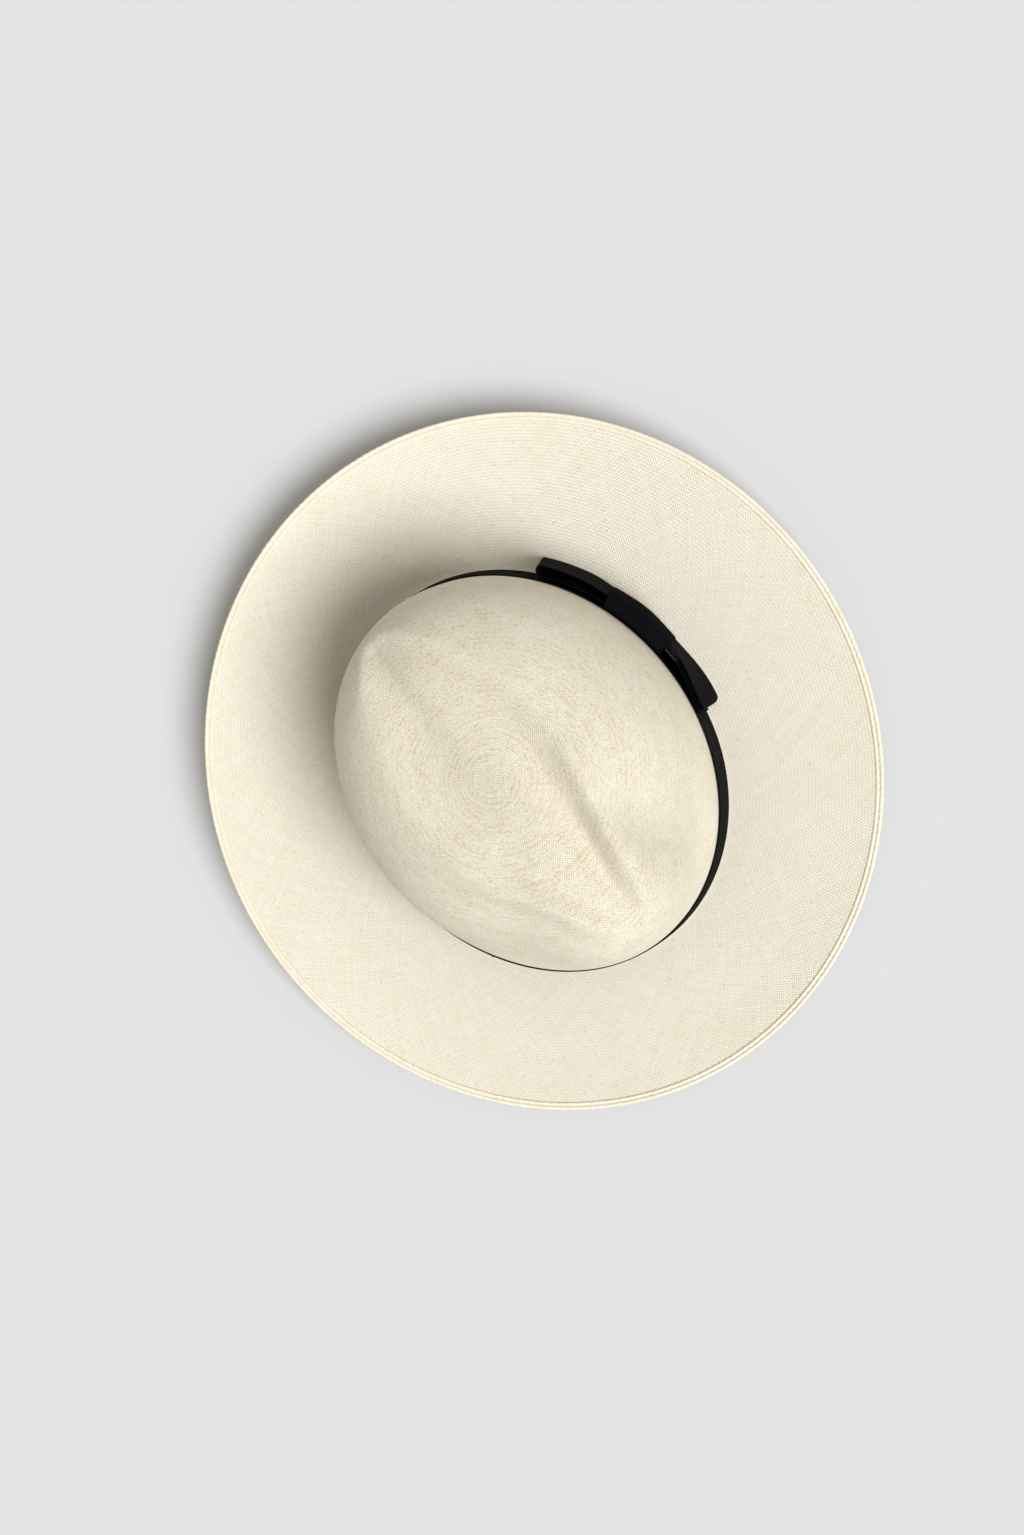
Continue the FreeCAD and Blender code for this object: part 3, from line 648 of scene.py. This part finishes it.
def straw_skin():
    """Outer skin, one meridian per row of the array, with its place in the flat weave."""
    turn = all_round(TURNS)
    way = np.stack([np.sin(turn), np.cos(turn)], -1)
    crown, length = even_rows(crown_point(turn, np.linspace(0.0, 1.0, FINE)), CROWN_ROWS)
    reach = brim_reach(turn) - oval_radius(turn, STRAW_OUT)
    share = np.linspace(0.0, 1.0, BRIM_ROWS)[1:] * (1.0 - EDGE_ROLL / reach)
    part = np.linspace(0.0, 1.0, CROWN_ROWS)
    own = part * length[:, None]
    even = own * (1.0 + (length.mean() / length[:, None] - 1.0) * smooth(part))
    row = even * (FOOT_ROW / length.mean())
    shift = WEAVE_MIDDLE / CROWN_PITCH * (1.0 - smooth(own / MIDDLE_REACH))[..., None]
    flat_crown = row[..., None] * way - shift
    flat_brim = (FOOT_ROW + share * BRIM_WEAVE)[..., None] * way
    skin = np.concatenate([crown, brim_point(turn, share)], 1)
    return skin, np.concatenate([flat_crown, flat_brim], 1)


def soften_break(skin):
    """Rounds the bend between the wall and the brim."""
    first, last = CROWN_ROWS - 1 - SOFTEN_ROWS, CROWN_ROWS + SOFTEN_ROWS
    for _ in range(SOFTEN_PASSES):
        beside = skin[:, first - 1:last - 1] + skin[:, first + 1:last + 1]
        skin[:, first:last] = 0.5 * skin[:, first:last] + 0.25 * beside


def build_straw(material):
    """The hat's woven body: outer skin, rim and inside as one closed mesh."""
    skin, flat = straw_skin()
    foot = skin[:, CROWN_ROWS - 1:CROWN_ROWS].copy()
    soften_break(skin)
    skin[:, 0] = skin[:1, 0]
    normal = grid_normals(skin, True)
    outward = (normal * (skin - CROWN_CORE)).sum(-1)
    normal *= np.sign(outward[:, SIDE_ROW:SIDE_ROW + 1])[..., None]
    rim = skin.shape[1] - 1
    under_rows = np.concatenate([np.arange(1, CROWN_ROWS, 2), np.arange(CROWN_ROWS, rim, 2), [rim]])
    under = skin[:, under_rows] - normal[:, under_rows] * STRAW_THICK
    low = under[..., 2].min(1, keepdims=True)
    near = np.linalg.norm(under - foot, axis=-1)
    under[..., 2] -= (low - FOOT_CLEAR) * np.clip(1.0 - (near / FOOT_REACH) ** 2, 0.0, 1.0) ** 2
    rows = np.concatenate([skin[:, 1:], under[:, ::-1]], 1)
    points = rows.reshape(-1, 3)
    uv = np.concatenate([flat[:, 1:], flat[:, under_rows][:, ::-1]], 1).reshape(-1, 2)
    count = rows.shape[1]
    top, under_top = len(points), len(points) + 1
    points = np.concatenate([points, skin[:1, 0], skin[:1, 0] - np.array([[0.0, 0.0, STRAW_THICK]])])
    uv = np.concatenate([uv, flat[:1, 0], flat[:1, 0]])
    faces = quads(TURNS, count, True)[:, ::-1].tolist()
    for index in range(TURNS):
        here, ahead = index * count, (index + 1) % TURNS * count
        faces.append([top, here, ahead])
        faces.append([under_top, ahead + count - 1, here + count - 1])
    return add_piece("straw_body_woven", (points, faces, uv), material, ("straw_body",))


# ------------ the plaited edge

PLAIT_COLUMNS, PLAIT_SIDES = 3000, 8
PLAIT_TWISTS, MORE_TWISTS, PLAIT_LOBE, PLAIT_SINK = 300, 7, 0.11, 0.35
# Distance in from the outline, lift, half width, half height, way of the twist.
PLAITS = ((0.95, 0.0, 1.0, 0.86, 1), (2.95, 0.35, 0.86, 0.70, -1), (4.75, -0.05, 0.62, 0.42, 1))


def plait_row(inset, lift, wide, high, twists):
    """A twisted cord of straw along the brim, as a mesh."""
    turn = all_round(PLAIT_COLUMNS)[:, 0]
    reach = brim_reach(turn) - oval_radius(turn, STRAW_OUT)
    here = brim_point(turn, 1.0 - inset / reach)
    outward = unit(here - brim_point(turn, 1.0 - (inset + 1.0) / reach))
    ahead = np.roll(here, -1, 0) - np.roll(here, 1, 0)
    upward = unit(np.cross(ahead, outward))
    upward *= np.sign(upward[:, 2:])
    middle = here + upward * (lift - PLAIT_SINK * STRAW_THICK)
    share = np.arange(PLAIT_SIDES) / PLAIT_SIDES
    side = 2.0 * math.pi * share
    lobe = 1.0 + PLAIT_LOBE * np.cos(2.0 * side + twists * turn[:, None])
    ring = middle[:, None] + outward[:, None] * (wide * lobe * np.cos(side))[..., None]
    ring = ring + upward[:, None] * (high * lobe * np.sin(side))[..., None]
    faces = quads(PLAIT_COLUMNS, PLAIT_SIDES, True, True)
    return ring.reshape(-1, 3), faces, layout(distances(here)[:, None], share)


def build_edge(material):
    """Rows of plaited straw along the edge of the brim."""
    rows = [plait_row(inset, lift, wide, high, way * (PLAIT_TWISTS + MORE_TWISTS * number))
            for number, (inset, lift, wide, high, way) in enumerate(PLAITS)]
    return add_piece("brim_edge_plaits", joined(rows), material, ("brim_edge_braid",))


# ------------ the band and the bow

BAND_COLUMNS, LOOP_COLUMNS, BEND_COLUMNS, TAIL_COLUMNS, LAP_COLUMNS = 2560, 150, 22, 210, 150
FLARE_LEAST, FLARE_MORE, FLARE_TURN, FLARE_SIDE, FLARE_SPAN = 0.1, 1.4, 0.1, 0.25, 0.8

# Turns are in degrees. Four numbers say how far the top or foot of a leg stands out: the distance
# at the keeper, the change towards the end, and the shares of the leg where the change starts
# and that it takes. BACK_IN_FLARE is what a foot adds to its top, TAIL_FAN what a top adds.
BOW_TURN, BOW_START, BOW_END, BOW_ROOT = 106.0, 70.3, 139.5, 1.5
FRONT_SHORTER, FRONT_BULGE = 1.6, 0.9
FRONT_IN_TOP, FRONT_IN_FOOT, FRONT_IN_RISE = (6.3, -4.1, 0.3, 0.65), 2.3, 0.5
FRONT_OUT_TOP, FRONT_OUT_FOOT = (7.4, -4.0, 0.3, 0.7), (7.3, 1.6, 0.3, 0.6)
BACK_IN_TOP, BACK_IN_BELLY, BACK_IN_FLARE = 1.5, 0.5, (0.0, 4.4, 0.0, 0.6)
BACK_OUT_TOP, BACK_OUT_FOOT = (5.2, 1.5, 0.0, 0.7), (6.2, 2.2, 0.0, 0.6)
TAIL_OUT, TAIL_FAN, TAIL_SLANT, TAIL_LIFT = 1.15, (4.1, -4.1, 0.3, 0.6), 1.2, 0.9
LAP_HALF = 12.0
KEEPER_HALF, KEEPER_WIDTH, KEEPER_MARGIN, KEEPER_BELLY = 11.6, 34.0, 0.4, 1.9
KEEPER_BACK, KEEPER_FRONT, FRONT_CORNER, BACK_CORNER = 1.0, 8.0, 3.2, 1.0
KEEPER_COLUMNS, KEEPER_ROWS, KEEPER_GAP = 340, 15, 0.2


def build_band(material):
    """The grosgrain band round the crown; its lower edge flares towards the front."""
    foot, width = upright(BAND_BOX)
    turn = all_round(BAND_COLUMNS)
    across = across_ribbon(width)
    height = foot + across * width + wave(turn, 0.15, 3, 0.7)
    flare = FLARE_LEAST + FLARE_MORE * smooth((np.cos(turn + FLARE_TURN) + FLARE_SIDE) / FLARE_SPAN)
    slack = wave(turn, 0.12, 7, 1.0) * np.sin(math.pi * across) + flare * (1.0 - across)
    grid = round_hat(turn, BAND_OUT - 0.5 * RIBBON_THICK + slack, height)
    piece = ribbon_piece("hat_band", grid, width, material, ("band_ribbon",), True)
    return piece


def bow_grid(turn_degrees, offset, height):
    """Points of the bow: offset is the distance out from the band's face."""
    return round_hat(*np.broadcast_arrays(np.radians(turn_degrees), BAND_OUT + offset, height))


def drift(share, first, change, start, span):
    """A distance that changes smoothly over part of a leg."""
    return first + change * smooth((share - start) / span)


def across_leg(top, foot, across, bulge=1.0):
    """Distance out at places across a ribbon, from those of its top and its foot."""
    return top + (foot - top) * (1.0 - across) ** bulge


def loop_grid(start, end, inner, outer, foot, width):
    """A loop of ribbon from the keeper at start out to end and back.

    inner and outer give the offset of its two legs, from 0 at the keeper to 1 at the end.
    """
    across = across_ribbon(width)
    way = math.copysign(1.0, end - start)
    degree = math.pi / 180.0 * float(oval_radius(math.radians(end), BAND_OUT))
    share = np.linspace(0.0, 1.0, LOOP_COLUMNS)[:, None]
    near, far = inner(share, across), outer(share, across)
    radius = 0.5 * (far[-1] - near[-1])
    last = end - way * radius / degree
    bend = np.linspace(0.0, math.pi, BEND_COLUMNS)[1:-1, None]
    leg = start + (last - start) * share
    turn = np.concatenate([leg, last + way * radius * np.sin(bend) / degree, leg[::-1]])
    offset = np.concatenate([near, near[-1:] + radius * (1.0 - np.cos(bend)), far[::-1]])
    return bow_grid(turn, offset, foot + across * width)


def build_front_loop(material):
    """The front loop: its outer leg flares out at the bottom towards the front end."""
    foot, width = upright(LOOP_BOX)

    def inner(share, across):
        return across_leg(drift(share, *FRONT_IN_TOP), FRONT_IN_FOOT + FRONT_IN_RISE * share, across)

    def outer(share, across):
        ends = drift(share, *FRONT_OUT_TOP), drift(share, *FRONT_OUT_FOOT)
        return across_leg(*ends, across, FRONT_BULGE)

    grid = loop_grid(BOW_TURN - BOW_ROOT, BOW_START + FRONT_SHORTER, inner, outer, foot, width)
    piece = ribbon_piece("bow_loop_front", grid, width, material, ("bow_front_loop",))
    return piece


def build_back_loop(material):
    """The back loop: open like a lens on top, with a full round end."""
    foot, width = upright(LOOP_BOX)

    def inner(share, across):
        top = BACK_IN_TOP + BACK_IN_BELLY * np.sin(math.pi * share)
        return across_leg(top, top + drift(share, *BACK_IN_FLARE), across)

    def outer(share, across):
        return across_leg(drift(share, *BACK_OUT_TOP), drift(share, *BACK_OUT_FOOT), across)

    grid = loop_grid(BOW_TURN + BOW_ROOT, BOW_END, inner, outer, foot, width)
    piece = ribbon_piece("bow_loop_back", grid, width, material, ("bow_back_loop",))
    return piece


def build_tail(material):
    """The cut end of the ribbon under the front loop, fanned out at the keeper."""
    foot, width = upright(LOOP_BOX)
    across = across_ribbon(width)
    share = np.linspace(0.0, 1.0, TAIL_COLUMNS)[:, None]
    start, end = BOW_TURN - BOW_ROOT, BOW_START + TAIL_SLANT * across
    offset = TAIL_OUT + drift(share, *TAIL_FAN) * across + TAIL_LIFT * share**6 * (1.0 - across)
    grid = bow_grid(start + (end - start) * share, offset, foot + across * width)
    piece = ribbon_piece("bow_tail_end", grid, width, material, ("bow_tail",))
    return piece


def build_lap(material):
    """Where the band's end laps over its start, under the bow."""
    foot, width = upright(BAND_BOX)
    turn = np.linspace(BOW_TURN - LAP_HALF, BOW_TURN + LAP_HALF, LAP_COLUMNS)[:, None]
    grid = bow_grid(turn, GAP + 0.5 * RIBBON_THICK, foot + across_ribbon(width) * width)
    piece = ribbon_piece("band_lap_end", grid, width, material, ("band_lap",))
    return piece


def corner(offset, height, radius, first, last, count):
    """Points of a round corner about a middle; its two angles are in quarter turns."""
    angle = 0.5 * math.pi * np.linspace(first, last, count)
    return np.stack([offset + radius * np.cos(angle), height + radius * np.sin(angle)], -1)


def build_keeper(material):
    """The ribbon wrapped upright round the middle of the bow."""
    low, high = KEEPER_BOX[0][2] + KEEPER_MARGIN, KEEPER_BOX[1][2] - KEEPER_MARGIN
    middle, back, front = 0.5 * (low + high), KEEPER_BACK + BACK_CORNER, KEEPER_FRONT - FRONT_CORNER
    wrap = np.concatenate([
        [(KEEPER_BACK, middle), (KEEPER_BACK, high - BACK_CORNER - KEEPER_GAP)],
        corner(back, high - BACK_CORNER, BACK_CORNER, 2, 1, 8),
        corner(front, high - FRONT_CORNER, FRONT_CORNER, 1, 0, 12),
        corner(front, low + FRONT_CORNER, FRONT_CORNER, 0, -1, 12),
        corner(back, low + BACK_CORNER, BACK_CORNER, -1, -2, 8),
        [(KEEPER_BACK, low + BACK_CORNER + KEEPER_GAP), (KEEPER_BACK, middle - KEEPER_GAP)]])
    marks = distances(wrap)
    at = np.linspace(0.0, marks[-1], KEEPER_COLUMNS)
    offset, height = (np.interp(at, marks, wrap[:, axis])[:, None] for axis in (0, 1))
    across = across_ribbon(KEEPER_WIDTH, KEEPER_ROWS)
    belly = np.clip((offset - KEEPER_BACK) / (KEEPER_FRONT - KEEPER_BACK), 0.0, 1.0) * KEEPER_BELLY
    rounding = np.sin(math.pi * across) * np.sin(math.pi * (height - low) / (high - low))
    grid = bow_grid(BOW_TURN + KEEPER_HALF * (2.0 * across - 1.0), offset + belly * rounding, height)
    piece = ribbon_piece("bow_keeper_wrap", grid, KEEPER_WIDTH, material, ("bow_keeper",))
    return piece


# ------------ threads

THREAD_SIDES = 8
NO_THREAD_WAY = np.array([0.31, 0.17, 0.93])
TACK_TURNS = (10, 60, 150, 190, 240, 310)
TACK_BELOW, TACK_LONG, TACK_OUT, TACK_DIVE, TACK_LEAN, TACK_THICK = 1.7, 2.2, 0.32, 1.0, 0.006, 0.22
STITCHES, STITCH_SHARE, STITCH_HIGH, STITCH_SLANT, STITCH_STRAY = 196, 0.72, 5.0, 0.9, 0.06
STITCH_IN, STITCH_BULGE, STITCH_THICK = 0.05, 0.42, 0.24


def thread(path, radius):
    """A short round thread with rounded ends, as a mesh."""
    way = unit(np.gradient(path, axis=0))
    side = unit(np.cross(way, NO_THREAD_WAY))
    other = np.cross(way, side)
    span = np.linspace(-1.0, 1.0, len(path))
    fat = radius * np.sqrt(np.maximum(1.0 - np.abs(span) ** 8, 0.08))
    share = np.arange(THREAD_SIDES) / THREAD_SIDES
    angle = 2.0 * math.pi * share[:, None]
    outward = side[:, None] * np.cos(angle) + other[:, None] * np.sin(angle)
    ring = path[:, None] + fat[:, None, None] * outward
    faces = quads(len(path), THREAD_SIDES, False, True).tolist()
    faces.append(list(range(THREAD_SIDES))[::-1])
    faces.append([(len(path) - 1) * THREAD_SIDES + k for k in range(THREAD_SIDES)])
    return ring.reshape(-1, 3), faces, layout(distances(path)[:, None], share)


def build_tacks(material):
    """Small stitches that hold the band's top edge to the straw."""
    share = np.linspace(0.0, 1.0, 9)
    height = BAND_BOX[1][2] - TACK_BELOW + TACK_LONG * share
    out = BAND_OUT + TACK_OUT - TACK_DIVE * smooth((share - 0.62) / 0.38)
    paths = [round_hat(math.radians(turn) + TACK_LEAN * (share - 0.5), out, height) for turn in TACK_TURNS]
    threads = joined(thread(path, TACK_THICK) for path in paths)
    return add_piece("band_tack_stitches", threads, material, ("band_tacks",))


def build_seam(material):
    """The slanted stitches along the foot of the sweatband."""
    share = np.linspace(-0.5, 0.5, 7)
    out = STITCH_IN - STITCH_BULGE * np.cos(math.pi * share)
    paths = []
    for number in range(STITCHES):
        turn = 2.0 * math.pi * (number + STITCH_SHARE * share) / STITCHES
        height = STITCH_HIGH + STITCH_SLANT * share + STITCH_STRAY * RANDOM.standard_normal()
        paths.append(round_hat(turn, out, height))
    threads = joined(thread(path, STITCH_THICK) for path in paths)
    return add_piece("sweatband_stitches", threads, material, ("sweatband_seam",))


# ------------ inside the hat

INSIDE_COLUMNS, MEAN_RADIUS = 720, 92.0
JOIN_HALF, LEATHER_EDGE, LIP = 0.002, 0.02, 0.35
TAPE_HALF, TAPE_CLEAR = 0.11, 0.22
# Places of the tape, out from the head opening and up, inside the leather and behind it.
TAPE_INSIDE = ((-0.22, 6.0), (-0.24, 4.4), (-0.26, 3.0))
TAPE_BEHIND = ((SWEAT_THICK + 0.15, 3.0), (SWEAT_THICK + 0.15, 5.2))
BOW_CLEAR_FRONT, BOW_CLEAR_BACK, NARROW_HALF = 0.9, 0.1, 0.13
LOOP_STEPS, LOOP_SQUEEZE, SQUEEZE_REACH, LOOP_SAG, PLEAT, PLEATS = 60, 0.62, 0.45, 0.8, 0.35, 3
KNOT_WIDE, KNOT_DEEP, KNOT_HIGH, KNOT_BULGE = 5.0, 1.75, 0.36, 0.3


def build_sweatband(material):
    """The leather band inside, with soft edges and a join at the back."""
    foot, width = upright(SWEAT_BOX)
    turn = np.linspace(-math.pi + JOIN_HALF, math.pi - JOIN_HALF, INSIDE_COLUMNS)[:, None]
    across = np.concatenate([[0.0, 0.006, 0.02], np.linspace(0.05, 0.95, 17), [0.98, 0.994, 1.0]])
    ripple = wave(turn, 0.25, 5, 0.4) * across**3 + wave(turn, 0.12, 13, 0.0) * across**4
    lip = LIP * smooth((across - 0.9) / 0.1)
    grid = round_hat(turn, 0.5 * SWEAT_THICK + ripple - lip, foot + across * width)
    from_edge = np.minimum(np.minimum(across, 1.0 - across) / LEATHER_EDGE, 1.0)
    rounding = np.sqrt(np.maximum(1.0 - (1.0 - from_edge) ** 2, 0.06))
    parts = sheet_mesh(grid, 0.5 * SWEAT_THICK * rounding, turn * MEAN_RADIUS, across * width)
    return add_piece("sweatband_leather", parts, material, ("sweatband",))


def build_tape(material):
    """The tape folded round the reed, its two edges sewn up each side of the sweatband."""
    reed = 0.5 * (REED_BOX[0][2] + REED_BOX[1][2])
    radius = 0.5 * (REED_BOX[1][2] - REED_BOX[0][2]) + TAPE_CLEAR
    angle = np.linspace(-0.5, math.pi + 0.5, 17)
    fold = np.stack([0.5 * SWEAT_THICK - radius * np.cos(angle), reed - radius * np.sin(angle)], -1)
    profile = np.concatenate([TAPE_INSIDE, fold, TAPE_BEHIND])
    turn = all_round(INSIDE_COLUMNS)
    grid = round_hat(turn, profile[:, 0], profile[:, 1] + wave(turn, 0.02, 40, 0.0))
    parts = sheet_mesh(grid, TAPE_HALF, turn * MEAN_RADIUS, distances(profile), True)
    piece = add_piece("reed_tape_fold", parts, material, ("reed_tape",))
    return piece


def inner_bow_loop(way, reach, front, back, middle, width):
    """One loop of the small bow: out along the back, round its end and in along the front."""
    across = across_ribbon(width)
    radius = 0.5 * (back - front)
    straight = np.linspace(0.0, 1.0, LOOP_STEPS) * (reach - radius)
    bend = np.linspace(0.0, math.pi, 18)[1:-1]
    x = np.concatenate([straight, reach - radius + radius * np.sin(bend), straight[::-1]])
    y = np.concatenate([np.full(LOOP_STEPS, back), back - radius * (1.0 - np.cos(bend)),
                        np.full(LOOP_STEPS, front)])
    squeeze = (LOOP_SQUEEZE + (1.0 - LOOP_SQUEEZE) * smooth(x / (SQUEEZE_REACH * reach)))[:, None]
    sag = LOOP_SAG * (x[:, None] / reach) ** 2
    z = middle - sag + (across - 0.5) * width * squeeze
    pleat = PLEAT * (1.0 - squeeze) * np.cos(2.0 * math.pi * PLEATS * across)
    grid = np.stack(np.broadcast_arrays(way * x[:, None], y[:, None] + pleat, z), -1)
    length = distances(np.stack([x, y], -1))[:, None]
    return sheet_mesh(grid, NARROW_HALF, length, across * width)


def inner_bow_knot(depth, middle, width):
    """The wrap round the middle of the small bow."""
    angle = all_round(48)
    side = across_ribbon(KNOT_WIDE) - 0.5
    high = KNOT_HIGH * width + KNOT_BULGE * np.cos(2.0 * math.pi * side)
    ring = np.stack(np.broadcast_arrays(
        KNOT_WIDE * side, depth + KNOT_DEEP * np.cos(angle), middle + high * np.sin(angle)), -1)
    return sheet_mesh(ring, NARROW_HALF, angle * 2.3, KNOT_WIDE * side, True)


def build_inner_bow(material):
    """A small flat bow of narrow ribbon at the back of the sweatband."""
    low, high = INNER_BOW_BOX[0] - CROWN_AXIS, INNER_BOW_BOX[1] - CROWN_AXIS
    front, back = low[1] + BOW_CLEAR_FRONT, high[1] - BOW_CLEAR_BACK
    reach, width = 0.5 * (high[0] - low[0]), high[2] - low[2]
    middle = low[2] + 0.5 * width
    parts = [inner_bow_loop(way, reach, front, back, middle, width) for way in (1.0, -1.0)]
    parts.append(inner_bow_knot(0.5 * (front + back), middle, width))
    return add_piece("sweatband_bow_ribbon", joined(parts), material, ("sweatband_bow",))


# ------------ the studio

FLOOR_HALF, FLOOR_DROP = 3.0, 0.0002
KEY_WAY, KEY_ELEVATION, KEY_WIDE = (0.32, -0.947, 0.0), math.radians(56.0), math.radians(38.0)
KEY_POWER, KEY_COLOUR = 3.0, (0.98, 0.99, 1.03)
ROOM_COLOUR, ROOM_STRENGTH = (1.0, 0.955, 0.88, 1.0), 0.48
CAMERA_AWAY, FRAME_HIGH, CAMERA_LEAN = 1.2, 0.746, math.radians(7.5)
PICTURE_RIGHT, PICTURE_UP = (0.780, -0.625, 0.0), (0.625, 0.780, 0.0)
AIM_HIGH, AIM_LEFT, AIM_DOWN = 0.012, 0.01496, 0.0007


def build_floor():
    """Pale paper under the hat."""
    mesh = bpy.data.meshes.new("studio_floor")
    corners = [(x * FLOOR_HALF, y * FLOOR_HALF, 0.0) for x, y in ((-1, -1), (1, -1), (1, 1), (-1, 1))]
    mesh.from_pydata(corners, [], [(0, 1, 2, 3)])
    mesh.materials.append(floor_material())
    floor = add_object("studio_floor", mesh)
    floor.location.z = -FLOOR_DROP


def build_light():
    """A large soft key light from the front, a little to the wearer's left, and a warm room."""
    sun = bpy.data.lights.new("key", "SUN")
    sun.energy = KEY_POWER
    sun.angle = KEY_WIDE
    sun.color = KEY_COLOUR
    key = add_object("key", sun)
    level = Vector(KEY_WAY).normalized()
    toward = level * math.cos(KEY_ELEVATION) + Vector((0.0, 0.0, 1.0)) * math.sin(KEY_ELEVATION)
    key.rotation_mode = "QUATERNION"
    key.rotation_quaternion = toward.to_track_quat("Z", "Y")
    world = bpy.data.worlds.new("studio")
    world.use_nodes = True
    room = world.node_tree.nodes["Background"].inputs
    room["Color"].default_value = ROOM_COLOUR
    room["Strength"].default_value = ROOM_STRENGTH
    bpy.context.scene.world = world
    bpy.context.scene.view_settings.view_transform = "Standard"


def build_camera():
    """Looks almost straight down, leaning towards the bow, with the front at the lower right."""
    right, up = Vector(PICTURE_RIGHT).normalized(), Vector(PICTURE_UP).normalized()
    target = Vector((0.0, 0.0, AIM_HIGH)) - right * AIM_LEFT - up * AIM_DOWN
    back = Vector((math.sin(CAMERA_LEAN), 0.0, math.cos(CAMERA_LEAN)))
    up = (up - back * up.dot(back)).normalized()
    side = up.cross(back)
    data = bpy.data.cameras.new("camera")
    data.sensor_fit = "VERTICAL"
    data.sensor_height = 36.0
    data.lens = data.sensor_height * CAMERA_AWAY / FRAME_HIGH
    camera = add_object("camera", data)
    place = target + back * CAMERA_AWAY
    camera.matrix_world = Matrix((
        (side.x, up.x, back.x, place.x), (side.y, up.y, back.y, place.y),
        (side.z, up.z, back.z, place.z), (0.0, 0.0, 0.0, 1.0)))
    bpy.context.scene.camera = camera


# ------------ put together

GROSGRAIN = cloth_material("black_grosgrain", (0.0025, 0.0025, 0.0032), (0.0065, 0.0065, 0.008),
                           thread=0.33, sheen=0.0, rough=0.75, specular=0.02)
COTTON = cloth_material("cotton_tape", (0.70, 0.65, 0.54), (0.82, 0.78, 0.68),
                        thread=0.4, sheen=0.2, rough=0.8)
SATIN = cloth_material("brown_satin", (0.20, 0.115, 0.055), (0.32, 0.20, 0.11),
                       thread=0.22, sheen=0.3, rough=0.42, depth=0.00002, specular=0.5)
build_straw(straw_material())
build_edge(plait_material())
for build in (build_band, build_lap, build_back_loop, build_front_loop, build_tail, build_keeper):
    build(GROSGRAIN)
build_tacks(thread_material("black_thread", (0.008, 0.008, 0.010), (0.03, 0.03, 0.034)))
build_sweatband(leather_material())
build_tape(COTTON)
build_seam(thread_material("pale_thread", (0.72, 0.65, 0.52), (0.86, 0.81, 0.70)))
build_inner_bow(SATIN)

# The cord keeps its CAD shape.
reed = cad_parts["sweatband_reed"]
reed.data.materials.clear()
reed.data.materials.append(cord_material())

build_floor()
build_light()
build_camera()
